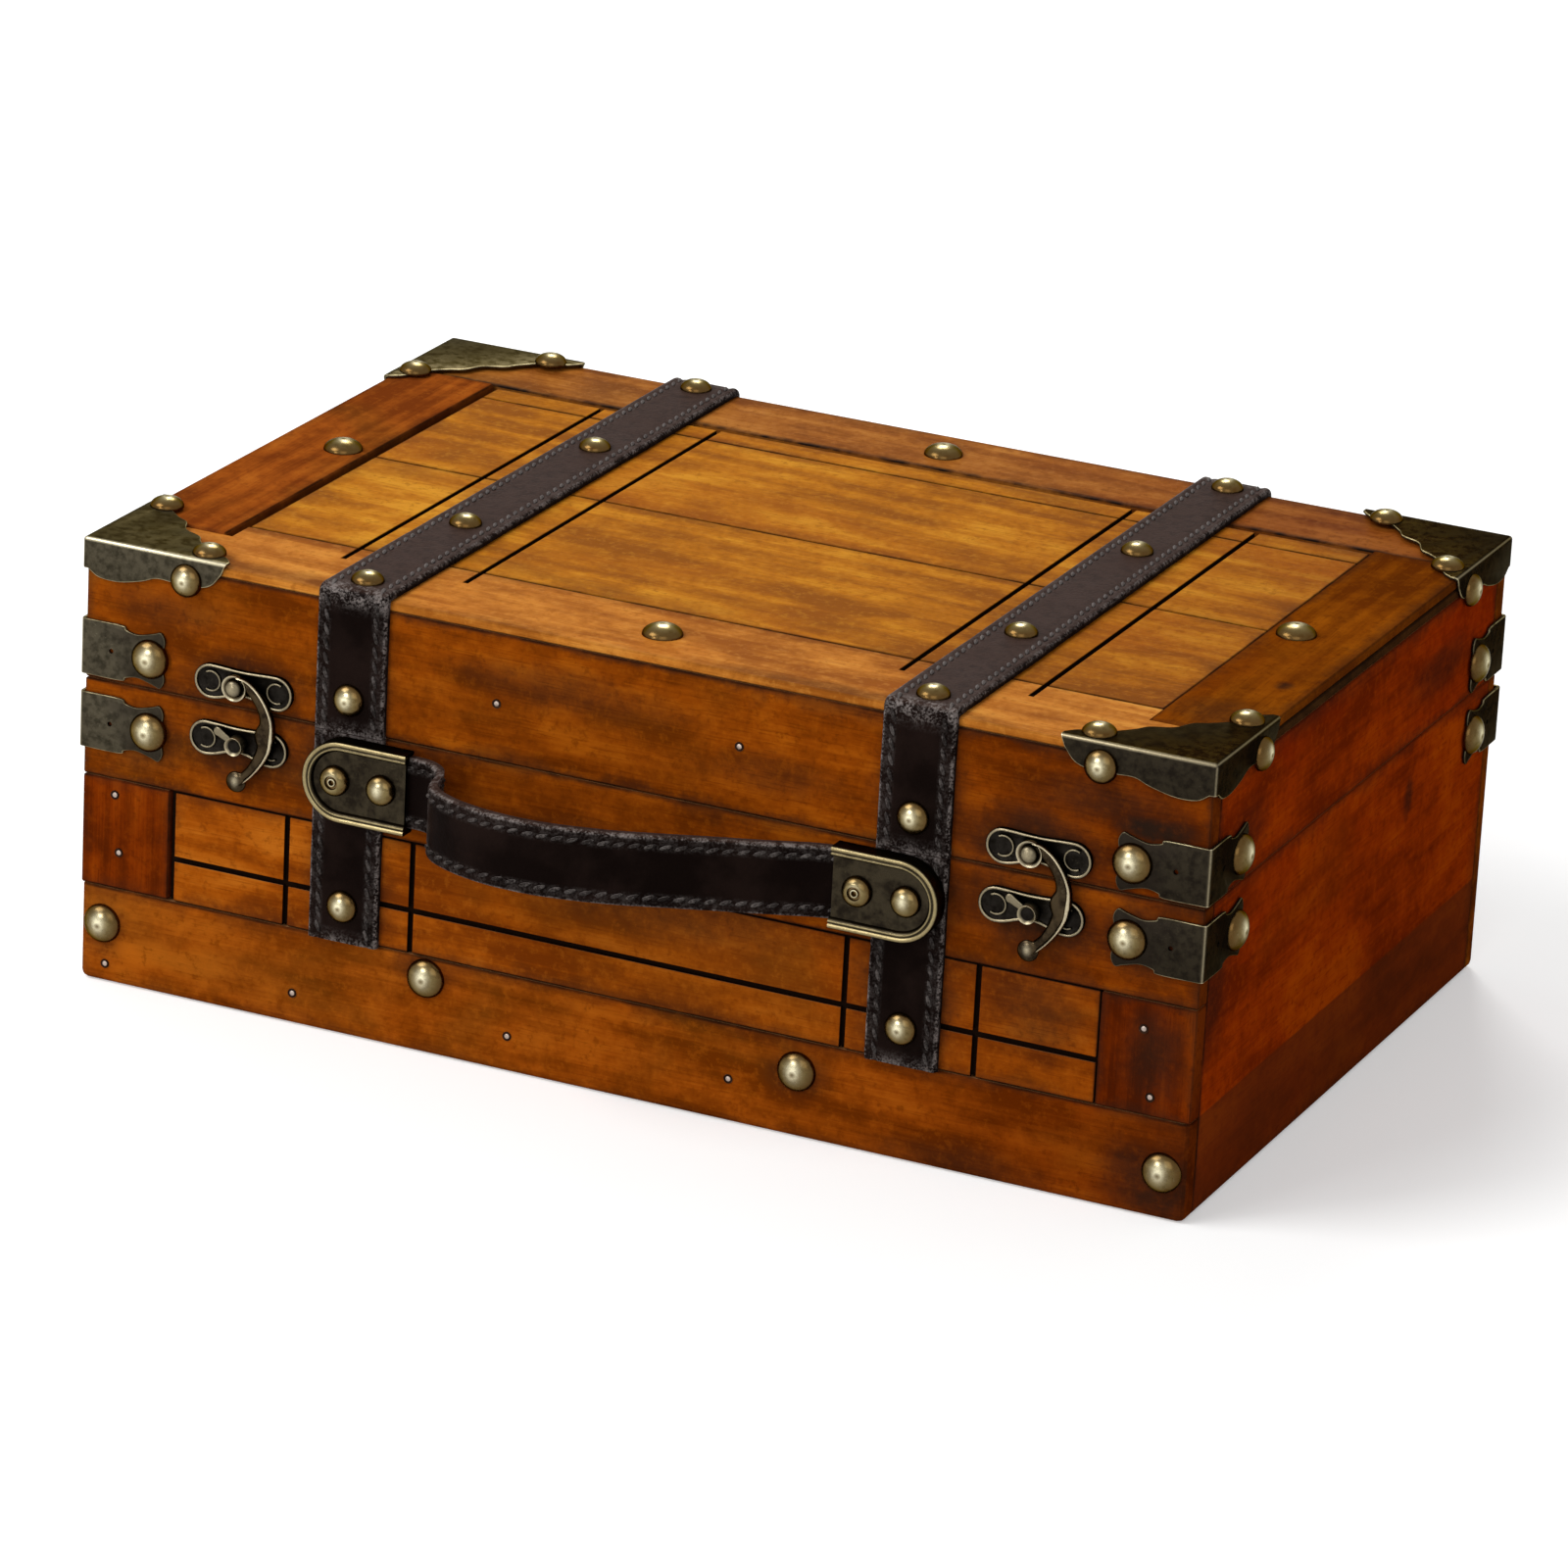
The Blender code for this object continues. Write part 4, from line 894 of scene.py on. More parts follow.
@dataclass(frozen=True)
class StainedWood:
    """Stained, varnished and distressed wood for one board."""

    stain: Stain
    grain: Axis
    face: Face
    seed: float = 0.0
    seams: str = ""
    kerfed: bool = False
    clean_side: str = ""
    edge_grime: float = 0.5
    gloss: float = 0.0
    seam_strength: float = 0.75
    seam_width: float = 0.0008
    band_height: float = 0.0
    figure_scale: float = 60.0
    grain_stretch: float = 0.30
    shade_to_right: float = 0.0
    dark_patches: tuple[DarkPatch, ...] = ()

    def stretched(self, graph: BoardGraph, along: float, offset: float) -> Socket:
        """Stretch the coordinates along the grain.

        Args:
            graph: The board's nodes.
            along: Scale along the grain.
            offset: Shift that keeps patterns apart.

        Returns:
            The grain's coordinates.
        """
        scale = [1.0, 1.0, 1.0]
        scale[self.grain.value] = along
        shift = (self.seed * 0.137 + offset, self.seed * 0.211 - offset, self.seed * 0.173)
        return graph.moved(shift, scale)

    def figure(self, graph: BoardGraph) -> tuple[Socket, Socket, Socket]:
        """Lay out the wood's figure, its fine fibres and its patches.

        Args:
            graph: The board's nodes.

        Returns:
            The tone, the fibres and the patches, each from 0 to 1.
        """
        broad = graph.clouds(self.stretched(graph, self.grain_stretch, 0.3), self.figure_scale,
                             2.5, 0.45, 0.9)
        wave = graph.node("ShaderNodeTexWave", Vector=self.stretched(graph, 0.11, 0.9),
                          Scale=38.0, Distortion=7.5, Detail=3.0, Detail_Scale=1.4,
                          Detail_Roughness=0.6)
        wave.bands_direction = {Axis.X: "DIAGONAL", Axis.Y: "X", Axis.Z: "X"}[self.grain]
        fibres = graph.clouds(self.stretched(graph, 0.022, 0.1), 1300.0, 3.0, 0.6)
        patches = graph.clouds(graph.moved((self.seed, -self.seed, self.seed * 0.5), (1, 1, 1)),
                               17.0, 4.0, 0.6, 0.4)
        blotches = graph.clouds(self.stretched(graph, 0.60, 3.3), 120.0, 4.0, 0.62, 0.5)
        tone = graph.sum("MULTIPLY_ADD", wave.outputs[1], 0.07, graph.sum(
            "MULTIPLY_ADD", broad, 0.22, graph.sum("MULTIPLY_ADD", fibres, 0.13, graph.sum(
                "MULTIPLY_ADD", blotches, 0.22, graph.times(patches, 0.36)))))
        return tone, fibres, patches

    def darkening(self, graph: BoardGraph) -> Socket:
        """Gather the dirt along the board's sides and the darker patches, one of them painted
        shade.

        Args:
            graph: The board's nodes.

        Returns:
            The share of dirt and darker patches.
        """
        flat = [letter for index, letter in enumerate("xyz") if index != self.face.axis.value]
        sides = [graph.from_side(sign + letter) for letter in flat for sign in "+-"]
        nearest = sides[0]
        for distance in sides[1:]:
            nearest = graph.sum("MINIMUM", nearest, distance)
        cloud = graph.clouds(graph.moved((self.seed * 2, 0, 0), (1, 1, 1)), 70.0, 5.0, 0.65)
        ragged = graph.clouds(graph.moved((0, self.seed * 3, 0), (1, 1, 1)), 34.0, 6.0, 0.72)
        reach = graph.span(ragged, 0.38, 0.70, 0.0012, 0.0100)
        dirt_and_shade = graph.times(graph.span(graph.sum("DIVIDE", nearest, reach), -0.35, 1.0, 1.0, 0.0),
                           self.edge_grime)
        for patch in self.dark_patches:
            spot = graph.span(graph.sum("MULTIPLY_ADD", cloud, 1.1, graph.sum(
                "SUBTRACT", self.patch_distance(graph, patch), 0.55)), 0.20, 1.15, 1.0, 0.0)
            dirt_and_shade = graph.sum("MAXIMUM", dirt_and_shade, graph.times(spot, patch.strength))
        speckle = graph.clouds(graph.place, 210.0, 4.0, 0.7)
        return graph.times(dirt_and_shade, graph.span(speckle, 0.25, 0.6, 0.72, 1.0), clamp=True)

    def patch_distance(self, graph: BoardGraph, patch: DarkPatch) -> Socket:
        """Measure how far a point is from a patch's middle, in shares of its reach.

        Args:
            graph: The board's nodes.
            patch: The patch.

        Returns:
            The distance, 1 at the patch's rim.
        """
        middle = [patch.first * MILLIMETRE, patch.second * MILLIMETRE]
        middle.insert(self.face.axis.value, self.face.level)
        reach = [patch.reach_first * MILLIMETRE, patch.reach_second * MILLIMETRE]
        reach.insert(self.face.axis.value, PATCH_DEPTH)
        shift = [-at / side for at, side in zip(middle, reach)]
        return graph.length(graph.moved(shift, [1 / side for side in reach]))

    def varnished(self, graph: BoardGraph, tone: Socket, mottle: Socket) -> Socket:
        """Colour the wood by its figure, before any dirt.

        Args:
            graph: The board's nodes.
            tone: The figure's tone.
            mottle: The fine clouds.

        Returns:
            The colour.
        """
        stain = self.stain
        warm = graph.clouds(self.stretched(graph, 0.55, 2.1), 14.0, 3.0, 0.55, 0.6)
        cool = graph.clouds(self.stretched(graph, 0.45, 4.7), 21.0, 3.0, 0.60, 0.8)
        pores = graph.clouds(self.stretched(graph, 0.05, 0.7), 2400.0, 1.0)
        colour = graph.ramp(tone, [(0.43, stain.dark), (0.535, stain.middle), (0.62, stain.light)])
        for cloud, low, high, start, end, toward in (
                (warm, 0.52, 0.68, 0.0, 0.42, stain.warm),
                (cool, 0.55, 0.72, 0.0, 0.34, stain.cool),
                (mottle, 0.52, 0.70, 0.0, 0.50, stain.dark),
                (mottle, 0.30, 0.50, 0.26, 0.0, stain.light),
                (pores, 0.60, 0.72, 0.0, 0.45, stain.dark)):
            colour = graph.blend(graph.span(cloud, low, high, start, end), colour, toward)
        return colour

    def material(self, node: str) -> Material:
        """Make the board's material.

        Args:
            node: The CAD node that it is for.

        Returns:
            The material.
        """
        graph = BoardGraph(node)
        letter = "xyz"[self.face.axis.value]
        tone, fibres, patches = self.figure(graph)
        mottle = graph.clouds(graph.place, 420.0, 3.0, 0.65)
        colour = self.varnished(graph, tone, mottle)
        if self.band_height:
            share = graph.span(graph.apart["z"], self.band_height,
                               self.band_height + 0.0008, 0.62, 0.0)
            colour = graph.blend(share, colour, BAND)
        # Painted shade: the board darkens towards the case's right end.
        if self.shade_to_right:
            share = graph.span(graph.apart["x"], 0.02, CASE.half_length, 0.0, self.shade_to_right)
            colour = graph.blend(share, colour, RIGHT_SHADE_TINT, "MULTIPLY")
        facing = graph.span(graph.sum("ABSOLUTE", graph.turned[letter]), 0.3, 0.7, 0.35, 1.0)
        dirt_and_shade = graph.times(self.darkening(graph), facing)
        # Dirt and the darker patches, one of them painted shade, mix towards the grime colour.
        colour = graph.blend(dirt_and_shade, colour, GRIME_AND_SHADE)
        broken = graph.span(graph.clouds(graph.place, 90.0, 3.0, 0.6), 0.35, 0.60, 0.30,
                            self.seam_strength)
        for seam in self.seams.split():
            line = graph.span(graph.from_side(seam), 0.0002, self.seam_width, 1.0, 0.0)
            line = graph.times(line, facing)
            colour = graph.blend(graph.times(line, broken), colour, KERF_AND_SHADE)
        if self.face.axis is not Axis.Z:
            rim = graph.span(graph.sum("ABSOLUTE", graph.turned["z"]), 0.7, 0.9, 0.0, 0.55)
            colour = graph.blend(rim, colour, BARE.dark)
        if self.kerfed:
            depth = graph.times(graph.sum("SUBTRACT", self.face.level, graph.apart[letter]),
                                float(self.face.sign))
            kerf = graph.times(graph.span(depth, 0.0001, 0.0003),
                               graph.span(depth, 0.0019, 0.0021, 1.0, 0.0))
            if self.clean_side:
                inset_by = graph.from_side(self.clean_side)
                kerf = graph.times(kerf, graph.span(inset_by, 0.0015, 0.0025))
            colour = graph.blend(kerf, colour, KERF_AND_SHADE)
        inward = graph.span(graph.times(graph.turned[letter], float(-self.face.sign)), 0.86, 0.94)
        bare = graph.ramp(tone, [(0.40, BARE.dark), (0.56, BARE.middle), (0.72, BARE.light)])
        colour = graph.blend(inward, colour, bare)
        bump = graph.relief(fibres, 0.35, 0.00012)
        bump = graph.relief(mottle, 0.30, 0.00010, bump)
        bump = graph.relief(patches, 0.25, 0.0008, bump)
        roughness = graph.sum("MULTIPLY_ADD", mottle, 0.22, graph.span(dirt_and_shade, 0.0, 1.0, 0.30, 0.42))
        return graph.finish(colour, roughness, bump, Specular_IOR_Level=self.gloss)


@dataclass(frozen=True)
class AgedMetal:
    """Sheet or cast metal with an antique finish, rubbed bright at its edges, with painted
    highlights and shade on some heads.
    """

    name: str
    bright: Colour
    plain: Colour
    dark: Colour
    roughness: float = 0.38
    mottle_scale: float = 260.0
    dent: float = 0.00012
    soot_and_shade: Colour = (0.016, 0.012, 0.009)
    glance: Colour = (0.40, 0.38, 0.32)
    scuffing: float = 0.10

    @cache
    def material(self) -> Material:
        """Make the metal's material, which reads its wear, tarnish and painted light from the
        mesh's points.

        Returns:
            The material.
        """
        graph = FinishGraph(self.name)
        cloud = graph.clouds(graph.place, self.mottle_scale, 5.0, 0.62)
        broad = graph.clouds(graph.moved((0.4, 0.2, 0.7), (1, 1, 1)), 55.0, 3.0, 0.5)
        fine = graph.clouds(graph.place, 1900.0, 3.0, 0.6)
        colour = graph.blend(graph.span(cloud, 0.38, 0.68), self.plain, self.dark)
        colour = graph.blend(graph.span(broad, 0.45, 0.75, 0.0, 0.5), colour, self.dark)
        scuffs = graph.times(graph.span(fine, 0.60, 0.74), graph.span(broad, 0.42, 0.62))
        colour = graph.blend(graph.times(scuffs, self.scuffing), colour, self.bright)
        # Wear, and on nail, rivet and knob crowns a painted highlight, mixes towards the bright
        # colour.
        rubbed_and_highlit = graph.times(graph.stored("wear_and_highlight"),
                             graph.span(fine, 0.30, 0.55, 0.75, 1.0), clamp=True)
        colour = graph.blend(rubbed_and_highlit, colour, self.bright)
        # Tarnish, and at the rims of nail and rivet heads painted shade, mixes towards the soot
        # colour.
        colour = graph.blend(graph.times(graph.stored("tarnish_and_shade"),
                                         graph.span(cloud, 0.25, 0.6, 1.0, 0.7)), colour, self.soot_and_shade)
        roughness = graph.sum("MULTIPLY_ADD", cloud, 0.30, self.roughness - 0.12)
        bump = graph.relief(broad, 0.35, self.dent * 4)
        bump = graph.relief(cloud, 0.35, self.dent, bump)
        return graph.finish(colour, roughness, bump, Metallic=1.0,
                            Specular_Tint=(*self.glance, 1.0))


@dataclass(frozen=True)
class StitchedLeather:
    """Near-black leather, pebbled, rubbed grey at bends and edges as wear and painted highlight,
    and painted lighter on top.
    """

    name: str
    ground: Colour = (0.0046, 0.0025, 0.0020)
    sheen: Colour = (0.0105, 0.0058, 0.0046)
    rubbed_and_highlit: Colour = (0.210, 0.180, 0.168)
    roughness: float = 0.36
    # Painted light: faces turned up mix towards this lighter, browner colour.
    lit_top: Colour = (0.046, 0.026, 0.020)

    @cache
    def material(self) -> Material:
        """Make the leather's material, which reads its wear and painted highlights from the mesh's
        points.

        Returns:
            The material.
        """
        graph = FinishGraph(self.name)
        pebble = graph.node("ShaderNodeTexVoronoi", Vector=graph.place, Scale=1150.0)
        pebble.feature = "SMOOTH_F1"
        crease = graph.clouds(graph.place, 330.0, 5.0, 0.65, 0.6)
        broad = graph.clouds(graph.moved((0.1, 0.5, 0.3), (1, 1, 1)), 45.0, 4.0, 0.6)
        fine = graph.clouds(graph.place, 1500.0, 3.0, 0.7)
        colour = graph.blend(graph.span(broad, 0.38, 0.66), self.ground, self.sheen)
        # Painted light: faces turned up are lighter.
        light = graph.times(graph.span(graph.parted(graph.normal)["z"], 0.55, 0.95),
                            graph.span(crease, 0.3, 0.6, 0.6, 1.0))
        colour = graph.blend(light, colour, self.lit_top)
        worn_and_highlit = graph.times(graph.stored("wear_and_highlight"), graph.span(
            graph.sum("MULTIPLY_ADD", fine, 0.55, graph.times(crease, 0.5)),
            0.46, 0.66), clamp=True)
        colour = graph.blend(worn_and_highlit, colour, self.rubbed_and_highlit)
        bump = graph.relief(crease, 0.45, 0.00022)
        bump = graph.relief(pebble.outputs["Distance"], 0.45, 0.00016, bump)
        roughness = graph.sum("MULTIPLY_ADD", broad, 0.25, graph.sum(
            "MULTIPLY_ADD", worn_and_highlit, 0.18, self.roughness - 0.10))
        return graph.finish(colour, roughness, bump, Specular_IOR_Level=0.006)


BRONZE = AgedMetal("antique_bronze_sheet", (0.60, 0.53, 0.36), (0.062, 0.052, 0.034),
                   (0.026, 0.022, 0.014), 0.36, 400.0)
# Painted shade: a darker copy of the bronze for the pieces on the right.
BRONZE_SHADED = AgedMetal("shaded_bronze_sheet", (0.27, 0.225, 0.14), (0.024, 0.0190, 0.012),
                          (0.011, 0.0085, 0.006), 0.40, 400.0)
BRONZE_EDGE = AgedMetal("rubbed_bronze_edge", (0.68, 0.61, 0.41), (0.26, 0.22, 0.125),
                        (0.085, 0.068, 0.038), 0.32)
# Brass of the nail heads: the bright colour is polish and painted highlight, the soot colour
# tarnish and painted shade at the rims.
NAIL_BRASS = AgedMetal("antique_brass_nail", (0.96, 0.89, 0.62), (0.165, 0.122, 0.050),
                       (0.100, 0.068, 0.024), 0.22, 420.0, 0.00002, (0.075, 0.036, 0.009))
LATCH_BLACK = AgedMetal("blackened_latch_bronze", (0.36, 0.30, 0.19), (0.013, 0.011, 0.009),
                        (0.005, 0.004, 0.003), 0.32, 380.0)
HOOK_BRONZE = AgedMetal("rubbed_hook_bronze", (0.56, 0.48, 0.32), (0.046, 0.032, 0.017),
                        (0.015, 0.010, 0.006), 0.22, 380.0, 0.00006)
CLIP_BRASS = AgedMetal("rubbed_clip_brass", (0.42, 0.335, 0.165), (0.032, 0.025, 0.015),
                       (0.012, 0.009, 0.006), 0.28, 300.0)
HINGE_BRONZE = AgedMetal("hinge_bronze", (0.62, 0.52, 0.32), (0.20, 0.165, 0.095),
                         (0.085, 0.070, 0.043), 0.38)
BRAD_STEEL = AgedMetal("brad_steel", (0.42, 0.34, 0.29), (0.030, 0.014, 0.008),
                       (0.012, 0.006, 0.004), 0.40)
LEATHER = StitchedLeather("stitched_black_leather")
THREAD = StitchedLeather("waxed_thread", (0.014, 0.011, 0.010), (0.034, 0.028, 0.026),
                         (0.17, 0.150, 0.140), 0.5, (0.13, 0.112, 0.105))


class Boards:
    """The wooden boards of the box and the lid, which keep their CAD nodes."""

    def box_finishes(self) -> dict[str, StainedWood]:
        """List the finish of each board of the box.

        Returns:
            The finishes by node.
        """
        end = StainedWood(MAHOGANY, Axis.Y, Face.LEFT, seams="+y -y", band_height=CASE.rail,
                          edge_grime=0.6)
        return {
            "box_front_bottom_rail": StainedWood(
                RAIL, Axis.X, Face.FRONT, seams="+z", edge_grime=0.45, shade_to_right=0.75,
                dark_patches=(DarkPatch(158, 9, 22, 16, 0.8), DarkPatch(-158, 16, 9, 12, 0.45),
                         DarkPatch(-58, 24, 11, 8, 0.6), DarkPatch(53, 18, 11, 9, 0.55),
                         DarkPatch(100, 3, 30, 7, 0.5))),
            "box_front_top_rail": StainedWood(
                ORANGE, Axis.X, Face.FRONT, seams="+z -z", edge_grime=0.75, shade_to_right=0.5,
                dark_patches=(DarkPatch(-116, 76, 22, 13, 0.75), DarkPatch(118, 76, 26, 15, 0.9),
                         DarkPatch(-83, 76, 20, 16, 0.8), DarkPatch(83, 76, 20, 16, 0.9),
                         DarkPatch(150, 76, 22, 13, 0.75), DarkPatch(-150, 74, 22, 12, 0.6),
                         DarkPatch(0, 70, 60, 8, 0.5))),
            "box_front_panel": StainedWood(
                HONEY, Axis.X, Face.FRONT, seams="-z -x", kerfed=True, edge_grime=0.55,
                shade_to_right=0.35,
                dark_patches=(DarkPatch(10, 58, 60, 12, 0.55), DarkPatch(83, 44, 18, 26, 0.8),
                         DarkPatch(-83, 44, 16, 22, 0.6), DarkPatch(120, 50, 20, 16, 0.55))),
            "box_front_end_block_left": StainedWood(
                RUSSET, Axis.Z, Face.FRONT, seams="+z -z +x", edge_grime=0.5),
            "box_front_end_block_right": StainedWood(
                RUSSET, Axis.Z, Face.FRONT, seams="+z -x", seam_strength=0.45, edge_grime=0.7,
                shade_to_right=0.35, dark_patches=(DarkPatch(154, 46, 12, 16, 0.7),)),
            "box_back_board": StainedWood(
                ORANGE, Axis.X, Face.BACK, edge_grime=0.6,
                dark_patches=(DarkPatch(-116, 80, 30, 14, 0.6), DarkPatch(116, 80, 30, 14, 0.6),
                         DarkPatch(0, 5, 90, 9, 0.5))),
            "box_left_board": end,
            "box_right_board": replace(end, face=Face.RIGHT, dark_patches=(
                DarkPatch(42, 72, 4, 7, 0.7), DarkPatch(-98, 62, 14, 26, 0.6))),
            "box_base_board": StainedWood(BARE, Axis.X, Face.BOTTOM, edge_grime=0.4),
        }

    def lid_finishes(self) -> dict[str, StainedWood]:
        """List the finish of each board of the lid.

        Returns:
            The finishes by node.
        """
        end = StainedWood(MAHOGANY, Axis.Y, Face.LEFT, seams="+y -y", edge_grime=0.7)
        plank = StainedWood(
            AMBER, Axis.X, Face.TOP, gloss=0.004, seams="+y -y +x -x", kerfed=True,
            edge_grime=0.35, figure_scale=44.0, shade_to_right=0.4,
            dark_patches=(DarkPatch(-83, 0, 15, 110, 0.35), DarkPatch(83, 0, 15, 110, 0.35)))
        return {
            "lid_front_board": StainedWood(
                ORANGE, Axis.X, Face.FRONT, seams="+z -z", edge_grime=0.8, shade_to_right=0.6,
                dark_patches=(DarkPatch(148, 107, 17, 5, 1.0), DarkPatch(118, 96, 30, 13, 0.85),
                         DarkPatch(-116, 96, 24, 10, 0.7), DarkPatch(135, 112, 26, 9, 0.6),
                         DarkPatch(-140, 112, 24, 8, 0.5), DarkPatch(83, 104, 16, 22, 0.7),
                         DarkPatch(-83, 104, 15, 22, 0.55), DarkPatch(-20, 112, 40, 8, 0.5),
                         DarkPatch(40, 100, 26, 7, 0.4))),
            "lid_back_board": StainedWood(
                ORANGE, Axis.X, Face.BACK, edge_grime=0.7,
                dark_patches=(DarkPatch(-116, 100, 34, 12, 0.6), DarkPatch(116, 100, 34, 12, 0.6))),
            "lid_left_board": end,
            # On the lid's right board, the last patch, a band just under the top edge, is painted
            # shade under the rim.
            "lid_right_board": replace(end, face=Face.RIGHT, dark_patches=(
                DarkPatch(60, 104, 30, 8, 0.5), DarkPatch(-80, 100, 18, 12, 0.5),
                DarkPatch(-20, 122, 100, 6, 0.45))),
            # Only the top panel's edges show, as a dark band of painted shade.
            "lid_top_panel": StainedWood(PANEL_EDGE_SHADE, Axis.X, Face.TOP, edge_grime=0.9),
            "lid_front_strip": StainedWood(
                BORDER, Axis.X, Face.TOP, gloss=0.004, seams="+y", kerfed=True, clean_side="-y",
                edge_grime=0.4,
                dark_patches=(DarkPatch(-100, -104, 40, 6, 0.4), DarkPatch(60, -106, 50, 5, 0.45))),
            # The back strip's wide dark line along its front edge is a dark joint and painted shade
            # of its raised edge.
            "lid_back_strip": StainedWood(
                BORDER_BACK, Axis.X, Face.TOP, gloss=0.004, seams="-y", seam_strength=1.0,
                seam_width=0.0034, edge_grime=0.5, shade_to_right=0.95),
            "lid_plank_front": plank,
            "lid_plank_rear": plank,
            "lid_plank_narrow": plank,
            "lid_end_strip_left": StainedWood(
                END_STRIP, Axis.Y, Face.TOP, seams="+x", edge_grime=0.45),
            "lid_end_strip_right": StainedWood(
                UMBER, Axis.Y, Face.TOP, seams="-x", edge_grime=0.55,
                dark_patches=(DarkPatch(157, -41, 3, 4, 0.8), DarkPatch(150, -70, 16, 14, 0.55))),
        }

    def build(self) -> None:
        """Dress every board, each with a seed of its own."""
        finishes = {**self.box_finishes(), **self.lid_finishes()}
        for seed, (node, finish) in enumerate(finishes.items(), 1):
            wood = replace(finish, seed=float(seed))
            dress(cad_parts[node], wood.material(node))
            LOG.info("%s stained", node)


@dataclass
class DomeNails:
    """Domed brass nail heads, modelled once for each size."""

    board_radius: float = 0.0055
    board_rise: float = 0.0030
    strap_radius: float = 0.0045
    strap_rise: float = 0.0027
    cap_radius: float = 0.0046
    cap_rise: float = 0.0026
    cover: float = 0.0001
    seat: float = 0.0003
    segments: int = 28
    rings: int = 16
    cap_top_along: float = 0.0345
    cap_skirt_along: float = 0.0310
    cap_edge: float = 0.0052
    bracket_along: float = 0.0205
    border_inset: float = 0.0165
    end_inset: float = 0.0207
    rail_shares: tuple[Point, ...] = ((0.021, 0.62), (0.324, 0.79), (0.660, 0.68), (0.979, 0.48))
    strap_x: float = 0.083
    strap_lift: float = 0.0095
    strap_low: float = 0.0385
    strap_edge: float = 0.0065
    strap_shares: tuple[float, ...] = (0.295, 0.665)
    tip: float = 0.12

    def head(self, radius: float, rise: float, brass: Material) -> Object:
        """Model one head that stands on the XY plane.

        Args:
            radius: Its radius.
            rise: Its height.
            brass: Its finish.

        Returns:
            The dressed model.
        """
        obj = dome("nail_head", self.segments, self.rings)
        # The crown gets polish and a painted highlight; the rim gets tarnish and painted shade.
        paint(obj, "wear_and_highlight", lambda point: 0.1 if point.xy.length < self.tip else crown(point))
        paint(obj, "tarnish_and_shade", lambda point: 0.5 if point.xy.length < self.tip
              else min(1.0, max(0.0, (point.xy.length - 0.55) / 0.36)))
        with editing(obj):
            stretch(radius + self.cover, radius + self.cover, rise + self.cover)
            pick(obj, lambda face: face.normal.z < -0.9)
            bpy.ops.mesh.extrude_region_move(
                TRANSFORM_OT_translate={"value": (0, 0, -self.seat)})
        return dress(shade(face_outwards(obj), 50), brass)

    def build(self) -> None:
        """Drive all the nails."""
        brass = NAIL_BRASS.material()
        board = self.head(self.board_radius, self.board_rise, brass)
        strap = self.head(self.strap_radius, self.strap_rise, brass)
        cap = self.head(self.cap_radius, self.cap_rise, brass)
        rail = [Face.FRONT.place((2 * along - 1) * CASE.half_length, up * CASE.rail)
                for along, up in self.rail_shares]
        reach_y = CASE.half_depth - self.border_inset
        reach_x = CASE.half_length - self.end_inset
        border = [Face.TOP.place(0, side * reach_y) for side in (-1, 1)]
        border += [Face.TOP.place(side * reach_x, 0, CASE.strip_rise) for side in (-1, 1)]
        lid, box = self.strap_places()
        rows = [("box", "rail", board, rail), ("lid", "border", board, border),
                ("lid", "cap", cap, self.cap_places()), ("lid", "strap", strap, lid),
                ("box", "strap", strap, box)]
        rows += [(half, "bracket", board, self.flank_places(self.bracket_along, height))
                 for half, height in FoldedSheet.bracket_heights().items()]
        for body, row, model, places in rows:
            settle(copies(f"{body}_{row}_nails", model, places), body, "nail_brass")
        discard(board, strap, cap)

    @staticmethod
    def flank_places(along: float, height: float) -> list[Matrix]:
        """List the places beside the four upright corners, one on each side of each.

        Args:
            along: Distance from the corner.
            height: Height of the nails.

        Returns:
            The places, on the corner sheet's face.
        """
        places = []
        for side_x, side_y in CORNERS.values():
            face = Face.FRONT if side_y < 0 else Face.BACK
            flank = Face.LEFT if side_x < 0 else Face.RIGHT
            places += [face.place(side_x * (CASE.half_length - along), height, CASE.sheet_face),
                       flank.place(side_y * (CASE.half_depth - along), height, CASE.sheet_face)]
        return places

    def cap_places(self) -> list[Matrix]:
        """List the places of the four nails of each lid cap.

        Returns:
            The places.
        """
        places = self.flank_places(self.cap_skirt_along, CASE.height - self.cap_edge)
        lift = CASE.sheet_face + CASE.strip_rise
        for side_x, side_y in CORNERS.values():
            for in_x, in_y in ((self.cap_top_along, self.cap_edge),
                               (self.cap_edge, self.cap_top_along)):
                places.append(Face.TOP.place(side_x * (CASE.half_length - in_x),
                                             side_y * (CASE.half_depth - in_y), lift))
        return places

    def strap_places(self) -> tuple[list[Matrix], list[Matrix]]:
        """List the places of the strap nails on the lid and on the box.

        Returns:
            The places on the lid and those on the box.
        """
        lid = []
        box = []
        rows = [self.strap_edge - CASE.half_depth, CASE.half_depth - self.strap_edge]
        rows += [(2 * share - 1) * CASE.half_depth for share in self.strap_shares]
        for side in SIDES.values():
            x = side * self.strap_x
            lid += [Face.TOP.place(x, row, CASE.leather_face) for row in rows]
            for face in (Face.FRONT, Face.BACK):
                lid.append(face.place(x, CASE.lid_floor + self.strap_lift, CASE.leather_face))
                box.append(face.place(x, self.strap_low, CASE.leather_face))
        return lid, box


